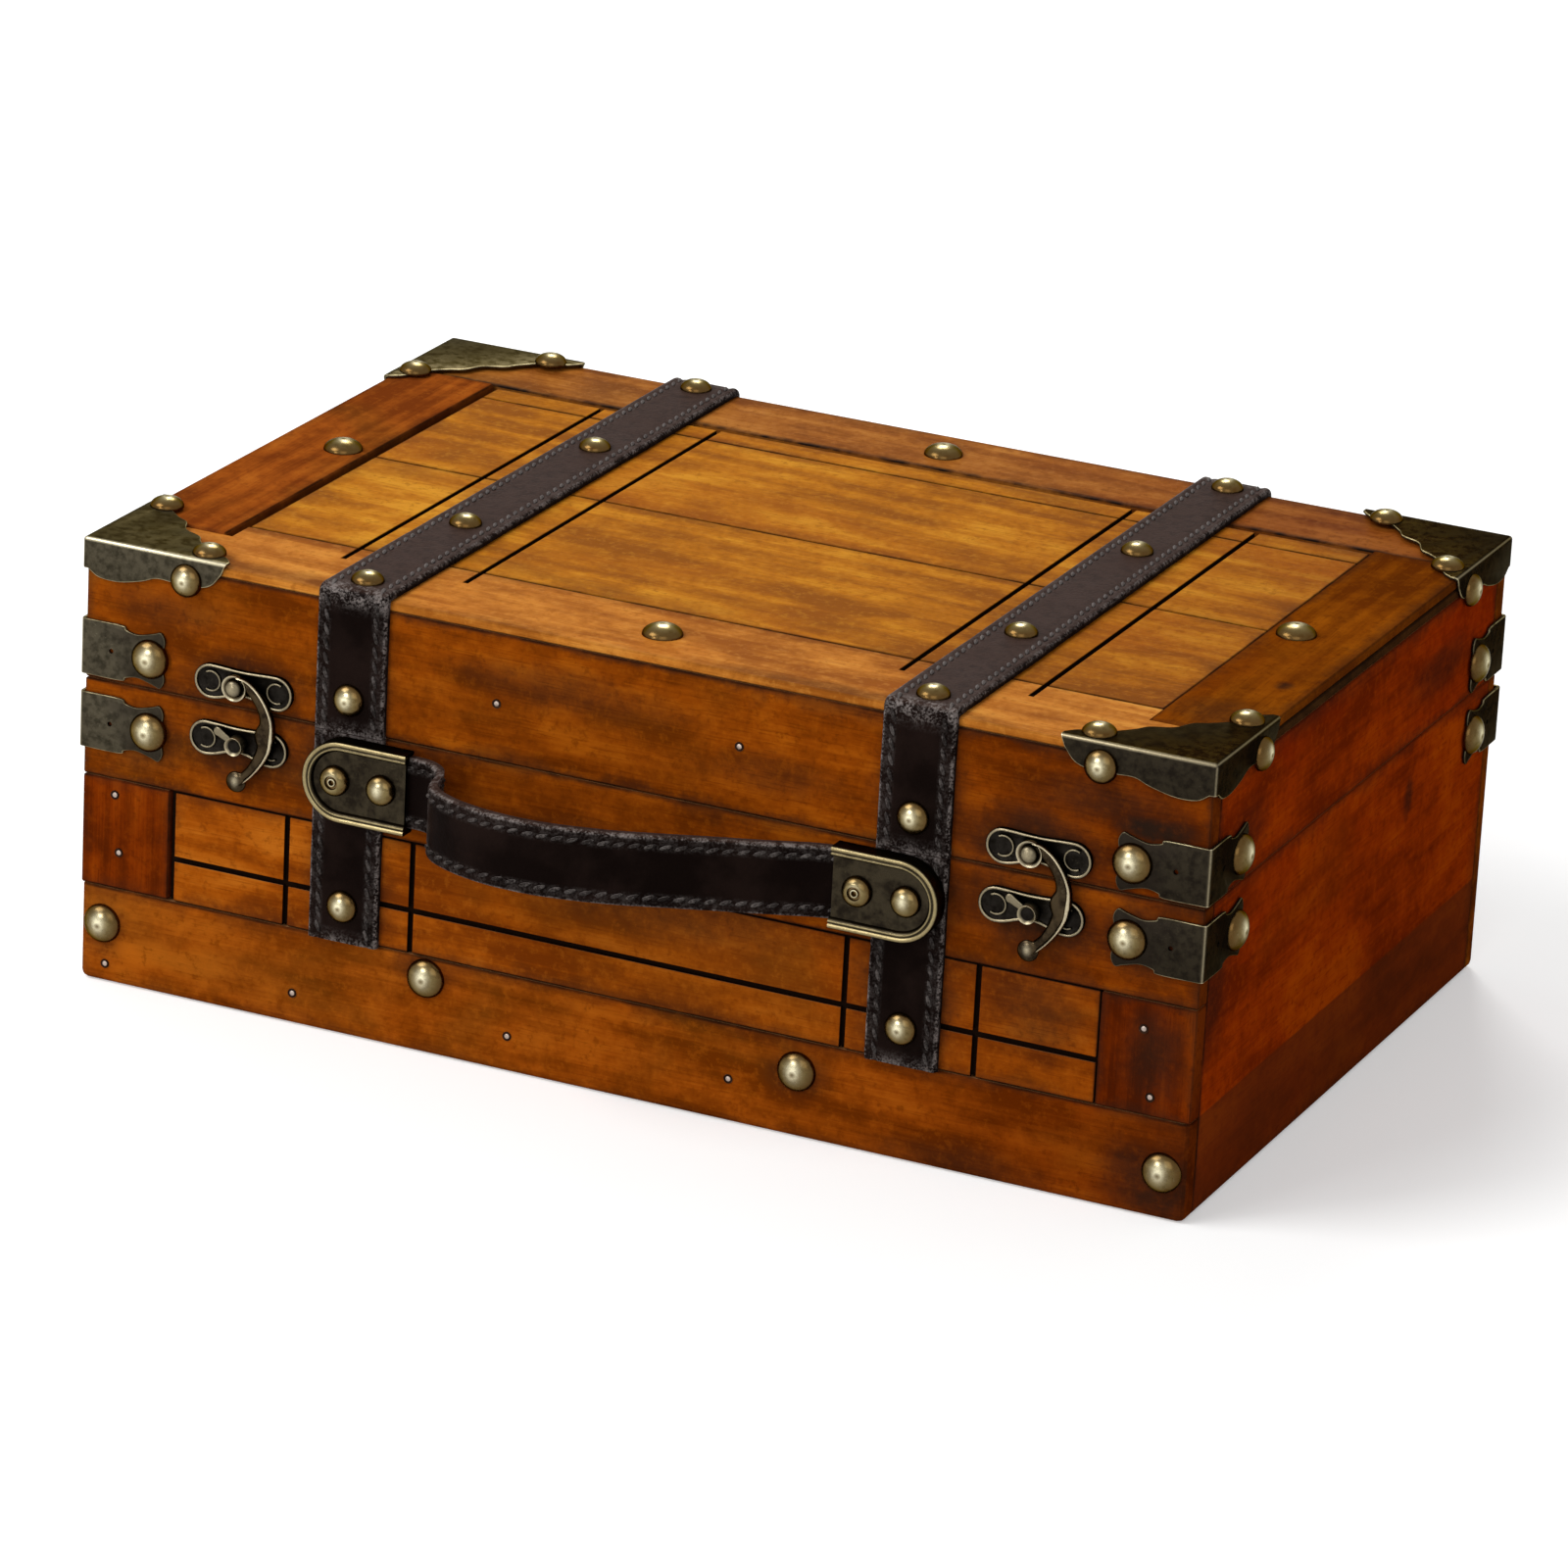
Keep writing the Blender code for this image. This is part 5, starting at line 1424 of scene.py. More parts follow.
@dataclass
class FoldedSheet:
    """The corner caps of the lid and the corner brackets, folded from sheet metal."""

    sheet: float = 0.0008
    bend: float = 0.0011
    rim: float = 0.00028
    cap_leg: float = 0.044
    cap_skirt_share: float = 0.287
    cap_top_shares: tuple[Point, ...] = (
        (1, 0.055), (0.93, 0.13), (0.80, 0.17), (0.66, 0.31), (0.60, 0.40), (0.47, 0.47),
        (0.40, 0.60), (0.31, 0.66), (0.17, 0.80), (0.13, 0.93), (0.055, 1))
    cap_skirt_shares: tuple[Point, ...] = (
        (0.97, 0.30), (0.90, 0.62), (0.80, 0.74), (0.66, 0.74), (0.52, 0.72), (0.42, 0.86),
        (0.26, 1), (0.12, 0.98), (0.04, 0.80))
    bracket_length: float = 0.026
    bracket_height_share: float = 0.41
    bracket_shares: tuple[Point, ...] = (
        (0, 1), (0.48, 1), (0.54, 0.86), (0.68, 0.78), (0.86, 0.92), (0.95, 1), (1, 0.72),
        (0.985, 0.36))
    split_clearance: float = 0.0010
    box_clearance: float = 0.0038
    pin_radius: float = 0.0007
    pin_along: float = 0.0095
    steps: int = 5
    score_share: float = 1.05
    finishes: tuple[Material, ...] = ()

    @classmethod
    def bracket_heights(cls) -> dict[str, float]:
        """Give the middle heights of the brackets on the lid and on the box.

        Returns:
            The heights by body.
        """
        half = cls.bracket_height_share * CASE.lid_height / 2
        return {"lid": CASE.lid_floor + cls.split_clearance + half,
                "box": CASE.split - cls.box_clearance - half}

    def rounded(self, shares: Sequence[Point], wide: float, tall: float) -> list[Point]:
        """Run a smooth outline through shares of a width and a height.

        Args:
            shares: The shares.
            wide: The width.
            tall: The height.

        Returns:
            The outline's points.
        """
        points = [Vector((along * wide, up * tall, 0)) for along, up in shares]
        return [(point.x, point.y) for point in smooth_line(points, self.steps)]

    def fold(self, name: str, flats: Sequence[Sequence[Vector]]) -> Object:
        """Fold flats that share edges, give them their thickness and rub their rims bright.

        Args:
            name: Name of the model.
            flats: Outlines of the flats.

        Returns:
            The folded sheet.
        """
        parts = []
        for outline in flats:
            flat = blank(name, [(0.0, 0.0)] * len(outline))
            for vertex, point in zip(flat.data.vertices, outline):
                vertex.co = point
            parts.append(flat)
        obj = joined(*parts)
        with editing(obj, "EDGE"):
            bpy.ops.mesh.remove_doubles(threshold=MERGE_DISTANCE)
            bpy.ops.mesh.normals_make_consistent(inside=False)
            pick(obj, lambda edge: len(edge.link_faces) == 2, "edges")
            bpy.ops.mesh.bevel(offset=self.bend, segments=4, profile=0.5)
        obj.data.update()
        middle = sum((face.normal for face in obj.data.polygons), Vector())
        if middle.dot(Vector((-1, -1, 1))) < 0:
            obj.data.flip_normals()
        dress(obj, *self.finishes)
        apply_modifier(obj, "SOLIDIFY", thickness=self.sheet, offset=-1, use_even_offset=True)
        soften(obj, self.rim, 2, 50, slot=1)
        return shade(face_outwards(obj), 40)

    def cap_model(self) -> Object:
        """Model a corner cap whose outer corner is at zero and whose legs run to +X, +Y and -Z.

        Returns:
            The model.
        """
        leg = self.cap_leg
        skirt = self.cap_skirt_share * CASE.lid_height
        top = [Vector((0, 0, 0)), Vector((leg, 0, 0))]
        top += [Vector((x, y, 0)) for x, y in self.rounded(self.cap_top_shares, leg, leg)]
        top.append(Vector((0, leg, 0)))
        line = self.rounded(self.cap_skirt_shares, leg, -skirt)
        front = [Vector((0, 0, 0)), Vector((leg, 0, 0))]
        front += [Vector((x, 0, z)) for x, z in line]
        front.append(Vector((0, 0, line[-1][1])))
        side = [Vector((point.y, point.x, point.z)) for point in front]
        obj = self.fold("cap_model", [top, front, side])
        edge = self.bend * self.score_share
        score(obj, Vector((edge, 0, 0)), Vector((0, edge, 0)), Vector((0, 0, -edge)))
        return paint(obj, "wear_and_highlight", lambda point: self.rub(min(
            point.yz.length, point.xz.length * 1.25, point.xy.length * 1.3)))

    def bracket_model(self) -> Object:
        """Model a corner bracket whose fold is on the Z axis, about its middle height.

        Returns:
            The model.
        """
        half = self.bracket_height_share * CASE.lid_height / 2
        upper = self.rounded(self.bracket_shares, self.bracket_length, half)
        lower = [(x, -z) for x, z in reversed(upper)]
        front = [Vector((x, 0, z)) for x, z in (*upper, *lower)]
        side = [Vector((0, point.x, point.z)) for point in front]
        obj = self.fold("bracket_model", [front, side])
        for along, axis in (((self.pin_along, 0, 0), "X"), ((0, self.pin_along, 0), "Y")):
            pin = rod("pin_hole", 16, self.pin_radius, self.bend * 4)
            pin.data.transform(Matrix.Translation(along) @ Matrix.Rotation(math.pi / 2, 4, axis))
            united(obj, pin, operation="DIFFERENCE")
        edge = self.bend * self.score_share
        score(obj, Vector((edge, 0, 0)), Vector((0, edge, 0)))
        shade(obj, 40)
        paint(obj, "tarnish_and_shade", lambda point: 0.9 * min(1.0, max(
            0.0, (point.xy.length / self.bracket_length - 0.50) / 0.10)))
        return paint(obj, "wear_and_highlight", lambda point: self.rub(point.xy.length * 1.15))

    def rub(self, distance: float) -> float:
        """Give the wear at a distance from a fold's sharp corner line."""
        return min(1.0, max(0.0, (0.74 - distance / self.bend) / 0.32))

    def place(self, side_x: int, side_y: int, height: float) -> Matrix:
        """Give the frame of a corner piece, mirrored to suit its corner.

        Args:
            side_x: -1 on the left, 1 on the right.
            side_y: -1 at the front, 1 at the back.
            height: Height of the piece's zero.

        Returns:
            The matrix.
        """
        corner = (side_x * (CASE.half_length + CASE.sheet_face),
                  side_y * (CASE.half_depth + CASE.sheet_face), height)
        return Matrix.Translation(corner) @ Matrix.Diagonal((-side_x, -side_y, 1, 1))

    def build(self) -> None:
        """Fold all the caps and brackets."""
        self.finishes = (BRONZE.material(), BRONZE_EDGE.material())
        shaded = BRONZE_SHADED.material()
        cap = self.cap_model()
        bracket = self.bracket_model()
        rows = [("lid", "cap", cap, CASE.height + CASE.sheet_face + CASE.strip_rise)]
        rows += [(half, "bracket", bracket, height)
                 for half, height in self.bracket_heights().items()]
        for corner, (side_x, side_y) in CORNERS.items():
            for body, kind, model, height in rows:
                node = f"{body}_corner_{kind}_{corner}"
                piece = copies(f"{node}_sheet", model, [self.place(side_x, side_y, height)])
                # Painted shade: the pieces on the right take the darker copy.
                if side_x > 0:
                    piece.data.materials[0] = shaded
                settle(piece, body, "bronze_sheet", node)
        discard(cap, bracket)


@dataclass
class StrapModel:
    """A stitched strap, modelled flat and laid along a path."""

    width: float
    thickness: float
    low: float = 0.0
    bend_reach: float = 0.0025
    inner_seams: bool = False
    seam_inset: float = 0.0031
    stitch_pitch: float = 0.0041
    stitch_length: float = 0.0036
    stitch_radius: float = 0.00062
    stitch_slant: float = 20.0
    spacing: float = 0.0022
    fine_spacing: float = 0.00035
    edge_wander: float = 0.00016
    edge_reach: float = 0.0007
    seam_reach: float = 0.0042
    end_reach: float = 0.004
    relief_shares: tuple[Point, ...] = (
        (0.0, 0.42), (0.0002, 0.66), (0.0006, 0.90), (0.0011, 1.0), (0.0019, 1.0), (0.0025, 0.90),
        (0.0031, 0.82), (0.0037, 0.90), (0.0046, 0.965), (0.0065, 0.955), (0.0085, 0.965))

    def across(self) -> list[Point]:
        """List the strap's section.

        Returns:
            Distances from its middle line, each with its share of the thickness.
        """
        left = [(edge - self.width / 2, share) for edge, share in self.relief_shares]
        right = [(-at, share) for at, share in reversed(left)]
        return [*left, (0.0, self.relief_shares[-1][1]), *right]

    def along(self, length: float, bends: Sequence[float]) -> list[float]:
        """List the places along the strap, closer together at its bends.

        Args:
            length: The strap's length.
            bends: Middles of the bends.

        Returns:
            The places in order.
        """
        reach = self.bend_reach
        places = [0.0]
        while places[-1] < length - MERGE_DISTANCE:
            near = any(abs(places[-1] - bend) < reach for bend in bends)
            step = self.fine_spacing if near else self.spacing
            for bend in bends:
                if places[-1] < bend - reach < places[-1] + step:
                    step = bend - reach - places[-1] + MERGE_DISTANCE
            places.append(min(length, places[-1] + step))
        return places

    def flat(self, name: str, length: float, bends: Sequence[float]) -> Object:
        """Model the flat strap: X along it, Y out of it, Z across it.

        Args:
            name: Name of the piece.
            length: Its length.
            bends: Places of its bends.

        Returns:
            The closed flat strap.
        """
        section = self.across()
        places = self.along(length, bends)
        columns = len(places) - 1
        rows = len(section) - 1
        bpy.ops.mesh.primitive_grid_add(x_subdivisions=columns, y_subdivisions=rows, size=1.0)
        obj = named(name)
        for vertex in obj.data.vertices:
            at = places[round((vertex.co.x + 0.5) * columns)]
            across, share = section[round((vertex.co.y + 0.5) * rows)]
            seed = Vector((at * 60, across * 20, self.low * 900 + self.width * 40))
            wander = noise.noise(seed) * self.edge_wander * abs(across) * 2 / self.width
            bulge = noise.noise(seed * 2.3) * self.thickness * 0.045
            vertex.co = (at, self.low + self.thickness * share + bulge, across + wander)
        with editing(obj):
            bpy.ops.mesh.extrude_region_move(
                TRANSFORM_OT_translate={"value": (0, -self.thickness, 0)})
            bpy.ops.transform.resize(value=(1, 0, 1), center_override=(0, self.low, 0))
        face_outwards(obj)
        half = self.width / 2

        def wear_and_highlight(point: Vector) -> float:
            """Rub the strap light at its edges, its bends and its ends, as wear and painted
            highlight.

            Args:
                point: A point of the flat strap.

            Returns:
                The wear.
            """
            edge = half - abs(point.z)
            rubbed_and_highlit = 0.95 if edge < self.edge_reach else 0.13 if edge < self.seam_reach else 0.0
            if point.y - self.low < self.thickness * 0.55:
                rubbed_and_highlit = 0.06
            for bend in bends:
                rubbed_and_highlit = max(rubbed_and_highlit, 1.0 - abs(point.x - bend) / (self.bend_reach * 1.6))
            end = min(point.x, length - point.x)
            return max(rubbed_and_highlit, 0.7 - end / self.end_reach)

        return paint(obj, "wear_and_highlight", wear_and_highlight)

    def stitches(self, name: str, length: float, outward: bool = True) -> Object:
        """Lay two rows of slanting stitches in the flat strap's grooves.

        Args:
            name: Name of the piece.
            length: The strap's length.
            outward: Whether the stitches lie on the outer side.

        Returns:
            All the stitches as one piece.
        """
        stitch = ball("stitch", 6, 4)
        with editing(stitch):
            bpy.ops.transform.rotate(value=math.pi / 2, orient_axis="Y", center_override=(0, 0, 0))
            stretch(self.stitch_length / 2, self.stitch_radius, self.stitch_radius)
        paint(stitch, "wear_and_highlight", lambda point: 0.5)
        count = int((length - self.stitch_pitch) / self.stitch_pitch)
        first = (length - count * self.stitch_pitch) / 2
        height = self.low + (self.thickness * 0.93 if outward else self.stitch_radius * 0.2)
        places = []
        for row in (-1, 1):
            across = row * (self.width / 2 - self.seam_inset)
            for index in range(count + 1):
                at = Matrix.Translation((first + index * self.stitch_pitch, height, across))
                places.append(at @ Matrix.Rotation(math.radians(self.stitch_slant), 4, "Y"))
        obj = copies(name, stitch, places)
        discard(stitch)
        return shade(obj, 60)

    def lay(self, obj: Object, line: Sequence[Vector], place: Matrix) -> Object:
        """Bend a flat piece along a line of the XY plane and put it in its place.

        Args:
            obj: The flat piece, used up along X.
            line: The line that the strap's inner face follows.
            place: The matrix from the line's plane to the case.

        Returns:
            The same object.
        """
        data = bpy.data.curves.new("strap_path", "CURVE")
        data.dimensions = "2D"
        spline = data.splines.new("POLY")
        spline.points.add(len(line) - 1)
        for point, at in zip(spline.points, line):
            point.co = (at.x, at.y, 0.0, 1.0)
        path = bpy.data.objects.new("strap_path", data)
        bpy.context.scene.collection.objects.link(path)
        bpy.context.view_layer.update()
        apply_modifier(obj, "CURVE", object=path, deform_axis="POS_X")
        discard(path)
        obj.data.transform(place)
        if place.determinant() < 0:
            obj.data.flip_normals()
        return shade(obj, 45)

    def make(self, node: str, body: str, line: Sequence[Vector], place: Matrix,
             bends: Sequence[float] = ()) -> None:
        """Make a strap and its seams and hang them on a body.

        Args:
            node: The CAD node that the strap stands for.
            body: The body that it rides on.
            line: The line that it follows.
            place: The matrix from the line's plane to the case.
            bends: Places of its bends.
        """
        length = line_length(line)
        leather = self.lay(self.flat(f"{node}_leather", length, bends), line, place)
        settle(dress(leather, LEATHER.material()), body, "strap_leather", node)
        seams = self.stitches(f"{node}_stitches", length)
        if self.inner_seams:
            seams = joined(seams, self.stitches("inner_stitches", length, outward=False))
        settle(dress(self.lay(seams, line, place), THREAD.material()), body, "strap_leather")


def line_length(line: Sequence[Vector]) -> float:
    """Measure a line of points."""
    return sum((there - here).length for here, there in zip(line, line[1:]))


def arc(centre: Vector, radius: float, start: float, end: float, steps: int) -> list[Vector]:
    """List the points of an arc in the XY plane.

    Args:
        centre: Its middle.
        radius: Its radius.
        start: First angle in degrees.
        end: Last angle in degrees.
        steps: Steps between them.

    Returns:
        The points in order.
    """
    turns = [math.radians(start + (end - start) * step / steps) for step in range(steps + 1)]
    return [centre + Vector((math.cos(turn), math.sin(turn), 0)) * radius for turn in turns]


@dataclass
class LeatherStraps:
    """The straps over the lid and the short ones on the box."""

    width: float = 0.021
    thickness: float = 0.0020
    bend: float = 0.0008
    strap_x: float = 0.083
    clearance: float = 0.0005
    bend_steps: int = 10

    def build(self) -> None:
        """Make all the straps."""
        model = StrapModel(self.width, self.thickness)
        reach = CASE.half_depth + CASE.gap
        high = CASE.height + CASE.gap - self.bend
        over = [Vector((-reach, CASE.lid_floor, 0))]
        over += arc(Vector((self.bend - reach, high, 0)), self.bend, 180, 90, self.bend_steps)
        over += arc(Vector((reach - self.bend, high, 0)), self.bend, 90, 0, self.bend_steps)
        over.append(Vector((reach, CASE.lid_floor + self.clearance, 0)))
        up = [Vector((-reach, CASE.rail, 0)), Vector((-reach, CASE.split, 0))]
        down = [Vector((reach, CASE.split - self.clearance, 0)), Vector((reach, CASE.rail, 0))]
        turn = Matrix(((0, 0, 1, 0), (1, 0, 0, 0), (0, 1, 0, 0), (0, 0, 0, 1)))
        rise = high - CASE.lid_floor + self.bend * math.pi / 4
        length = line_length(over)
        for side_name, side in SIDES.items():
            place = Matrix.Translation((side * self.strap_x, 0, 0)) @ turn
            model.make(f"lid_strap_{side_name}", "lid", over, place,
                       (rise, length - rise + self.clearance))
            model.make(f"box_strap_front_{side_name}", "box", up, place)
            model.make(f"box_strap_back_{side_name}", "box", down, place)


@dataclass
class CarryHandle:
    """The bowed leather handle on the front."""

    width: float = 0.0204
    thickness: float = 0.0026
    reach: float = 0.0310
    height: float = 0.076
    mouth: float = 0.0627
    tongue: float = 0.024
    tongue_back: float = 0.0026
    crease_along: float = 0.018
    crease_reach: float = 0.006
    steps: int = 6
    path_shares: tuple[Point, ...] = (
        (0, 0), (0.045, 0.03), (0.080, 0.14), (0.098, 0.30), (0.106, 0.46), (0.120, 0.62),
        (0.152, 0.76), (0.205, 0.88), (0.275, 0.97), (0.355, 1), (0.440, 0.97), (0.550, 0.84),
        (0.660, 0.64), (0.770, 0.43), (0.880, 0.22), (0.955, 0.06), (1, 0))

    def line(self) -> list[Vector]:
        """List the handle's middle line in the XY plane, from right to left.

        Returns:
            The points in order.
        """
        rest = self.tongue_back + self.thickness / 2
        level = -CASE.half_depth - rest
        points = [Vector((self.mouth * (2 * along - 1), level - out * (self.reach - rest), 0))
                  for along, out in self.path_shares]
        end = Vector((self.mouth + self.tongue, level, 0))
        start = Vector((-self.mouth - self.tongue, level, 0))
        return [end, *reversed(smooth_line(points, self.steps)), start]

    def build(self) -> None:
        """Make the handle and its seams."""
        model = StrapModel(self.width, self.thickness, -self.thickness / 2, self.crease_reach,
                           inner_seams=True, spacing=0.0013, seam_inset=0.0030)
        line = self.line()
        crease = line_length(line) - self.tongue - self.crease_along
        model.make("handle_strap", "box", line, Matrix.Translation((0, 0, self.height)),
                   (crease,))


@dataclass
class HandleClips:
    """The two metal clips that hold the handle, with their rivets."""

    length: float = 0.031
    height: float = 0.023
    centre_x: float = 0.0782
    centre_z: float = 0.076
    back: float = 0.0026
    floor_back: float = 0.0055
    floor_face: float = 0.0067
    floor_sink: float = 0.00005
    face: float = 0.0080
    wall: float = 0.0010
    rim: float = 0.0030
    floor_overlap: float = 0.0003
    outer_rivet: float = 0.0060
    inner_rivet: float = 0.0080
    rivet_radius: float = 0.0043
    rivet_rise: float = 0.0026
    arc_steps: int = 24
    crown_cut: float = 0.80
    crown_rings: tuple[Point, ...] = (
        (0.14, 0.0), (0.05, 0.24), (0.10, 0.0), (0.04, -0.16), (0.07, 0.0), (0.04, 0.36))

    def outline(self, inset: float) -> list[Point]:
        """Outline the clip, straight at its mouth and round at its closed end.

        Args:
            inset: Distance in from the outer edge.

        Returns:
            The points in order.
        """
        radius = self.height / 2
        closed = self.length / 2 - radius
        points = [(-self.length / 2, inset - radius)]
        for step in range(self.arc_steps + 1):
            angle = math.pi * (step / self.arc_steps - 0.5)
            points.append((closed + (radius - inset) * math.cos(angle),
                           (radius - inset) * math.sin(angle)))
        points.append((-self.length / 2, radius - inset))
        return points

    def rim_model(self) -> Object:
        """Sweep the wall and the double rim round the clip.

        Returns:
            The closed rim.
        """
        line = [Vector((*point, 0)) for point in self.outline(0.0)]
        mid = (self.face + self.floor_face) / 2
        top = self.face
        section = [
            (0.0, self.back), (0.0, mid), (0.00012, top - 0.00030), (0.00040, top - 0.00006),
            (0.00075, top), (0.00110, top - 0.00010), (0.00135, top - 0.00042),
            (0.00155, top - 0.00042), (0.00175, top - 0.00016), (0.00205, top - 0.00008),
            (0.00235, top - 0.00020), (0.00262, top - 0.00055), (self.rim, self.floor_face),
            (self.rim, self.floor_back), (self.wall, self.floor_back), (self.wall, self.back)]
        return swept("clip_model", section, stations_along(line))

    def model(self) -> Object:
        """Model a clip with its closed end to +X, standing on the wood's face.

        Returns:
            The model.
        """
        rim = self.rim_model()
        back = self.floor_back + CASE.gap / 2
        mouth = CASE.gap - self.length / 2
        inside = [(max(x, mouth), y) for x, y in self.outline(self.rim - self.floor_overlap)]
        floor = plate("clip_floor", inside, self.floor_face - self.floor_sink - back)
        floor.data.transform(Matrix.Translation((0, 0, back)))
        clip = united(rim, floor)
        paint(clip, "wear_and_highlight", lambda point: 0.62 if point.z > self.face - 0.00012
              else 0.03 if point.z > self.floor_face + 0.0001 else 0.0)
        return shade(clip, 40)

    def rivet(self, ringed: bool) -> Object:
        """Model a rivet head, domed or with a hollow ring.

        Args:
            ringed: Whether its crown is hollow.

        Returns:
            The head, standing on the XY plane.
        """
        obj = dome("rivet_head", 28, 18)
        if ringed:
            with editing(obj):
                bpy.ops.mesh.bisect(plane_co=(0, 0, self.crown_cut), plane_no=(0, 0, 1),
                                    use_fill=True, clear_outer=True)
            for width, sink in self.crown_rings:
                inset(obj, lambda face: face.normal.z > 0.9 and len(face.verts) > 8, width, sink)
        # The crown gets polish and a painted highlight; the ring's hollow gets tarnish, the rim
        # tarnish and painted shade.
        paint(obj, "wear_and_highlight", lambda point: 0.0 if ringed and point.xy.length < 0.40
              and point.z < 0.62 else crown(point, 0.6))
        paint(obj, "tarnish_and_shade", lambda point: 0.9 if ringed and point.z < 0.70
              and point.xy.length < 0.5 else min(1.0, max(0.0, (point.xy.length - 0.66) / 0.30)))
        obj.data.transform(Matrix.Diagonal((self.rivet_radius, self.rivet_radius,
                                            self.rivet_rise, 1)))
        return shade(face_outwards(obj), 40)

    def build(self) -> None:
        """Make the clips and their rivets."""
        clip = dress(self.model(), CLIP_BRASS.material())
        nail = NAIL_BRASS.material()
        heads = {True: dress(self.rivet(True), nail), False: dress(self.rivet(False), nail)}
        ringed = {"left_outer", "right_inner"}
        for side_name, side in SIDES.items():
            node = f"handle_clip_{side_name}"
            place = Face.FRONT.place(side * self.centre_x, self.centre_z)
            piece = copies(f"{node}_rimmed", clip, [place @ Matrix.Diagonal((side, 1, 1, 1))])
            settle(piece, "box", "clip_bronze", node)
            for row, offset in (("outer", self.outer_rivet), ("inner", -self.inner_rivet)):
                place = Face.FRONT.place(side * (self.centre_x + offset), self.centre_z,
                                         self.floor_face + CASE.gap)
                key = f"{side_name}_{row}"
                piece = copies(f"handle_rivet_{key}_head", heads[key in ringed], [place])
                settle(piece, "box", "nail_brass", f"handle_rivet_{key}")
        discard(clip, *heads.values())


@dataclass
class SwingLatches:
    """The two swing hook latches: lid plate, catch plate with stud, hook and rivet."""

    places_x: tuple[tuple[str, float], ...] = (("left", -0.1156), ("right", 0.1184))
    span: float = 0.030
    lobe: float = 0.0050
    sheet: float = 0.0010
    plate_rise: float = 0.0068
    catch_drop: float = 0.0096
    catch_shift: float = 0.0011
    pivot_shift: float = 0.0018
    waist_top_share: float = 0.92
    waist_bottom_share: float = 0.55
    rim: float = 0.0008
    bead: float = 0.00042
    wire_sides: int = 8
    stud_radius: float = 0.0026
    stud_rise: float = 0.0034
    arm: float = 0.0075
    arm_width: float = 0.0024
    arm_tilt: float = 28.0
    hook_thickness: float = 0.0022
    hook_radius: float = 0.0015
    hook_eye: float = 0.0037
    hook_knob: float = 0.0030
    hook_drop: float = 0.0268
    hook_bulge: float = 0.0100
    hook_shares: tuple[tuple[float, float, float], ...] = (
        (0.05, -0.065, 1.1), (0.30, -0.045, 1.15), (0.56, 0.020, 1.2), (0.78, 0.120, 1.25),
        (0.93, 0.235, 1.35), (0.98, 0.345, 1.6), (0.91, 0.470, 2.1), (0.92, 0.580, 1.6),
        (0.78, 0.715, 1.3), (0.55, 0.850, 1.05), (0.28, 0.955, 1.0), (0.11, 1, 1.0))
    hook_section: tuple[Point, ...] = (
        (-1, 0.10), (-0.95, 0.38), (-0.80, 0.60), (-0.50, 0.76), (-0.10, 0.82), (0.25, 0.78),
        (0.44, 0.70), (0.54, 0.76), (0.64, 0.94), (0.78, 1.0), (0.92, 0.92), (1, 0.66),
        (1, 0.12), (0.6, 0.0), (-0.6, 0.0))
    pivot_radius: float = 0.0024
    pivot_rise: float = 0.0014
    arc_steps: int = 14

    def outline(self) -> list[Point]:
        """Outline a plate: two round lobes joined by a waist.

        Returns:
            The points in order.
        """
        centre = self.span / 2 - self.lobe
        points = []
        for end in (1, -1):
            for step in range(self.arc_steps + 1):
                angle = math.pi * (step / self.arc_steps - 0.5)
                points.append((end * (centre + self.lobe * math.cos(angle)),
                               end * self.lobe * math.sin(angle)))
            waist = self.waist_top_share if end > 0 else self.waist_bottom_share
            for step in range(1, self.arc_steps):
                swing = math.pi * (1 - 2 * step / self.arc_steps)
                height = waist + (1 - waist) * (1 - math.cos(swing)) / 2
                points.append((end * centre * (1 - 2 * step / self.arc_steps),
                               end * self.lobe * height))
        return points

    def wire(self, name: str, line: Sequence[Vector], radius: float,
             closed: bool = False) -> Object:
        """Lay a thin bright wire along a line.

        Args:
            name: Name of the wire.
            line: Its points.
            radius: Its radius.
            closed: Whether it is a ring.

        Returns:
            The wire.
        """
        turns = [2 * math.pi * step / self.wire_sides for step in range(self.wire_sides)]
        profile = [(radius * math.cos(turn), radius * math.sin(turn)) for turn in turns]
        return swept(name, profile, stations_along(line, closed), closed)

    def plate_model(self) -> Object:
        """Model a plate with a raised bright wire round its lobes and dark wells in them.

        Returns:
            The model.
        """
        outline = self.outline()
        obj = plate("latch_plate_model", outline, self.sheet)
        inset_top(obj, self.sheet, self.rim, self.sheet * 0.45)
        centre = self.span / 2 - self.lobe
        for end in (-1, 1):
            well = rod("well", 24, self.lobe * 0.36, self.sheet)
            well.data.transform(Matrix.Translation((end * centre, 0, self.sheet)))
            united(obj, well, operation="DIFFERENCE")
        shade(obj, 40)
        inner = []
        for x, y in outline:
            away = Vector((x - max(-centre, min(centre, x)), y, 0)).normalized()
            inner.append(Vector((x, y, self.sheet)) - away * self.rim * 0.6)
        wires = [self.wire("plate_wire", inner, self.bead, closed=True)]
        for end, start, stop in ((-1, -120, 120), (1, 60, 300)):
            line = arc(Vector((end * centre, 0, self.sheet * 0.8)), self.lobe * 0.56, start,
                       stop, 14)
            wires.append(self.wire("lobe_wire", line, self.bead * 0.8))
        bright = shade(joined(*wires), 60)
        paint(obj, "wear_and_highlight", lambda point: 0.03 if point.z > self.sheet * 0.8 else 0.0)
        paint(bright, "wear_and_highlight", lambda point: 0.62 if point.z > self.sheet * 1.05 else 0.2)
        return joined(obj, bright)

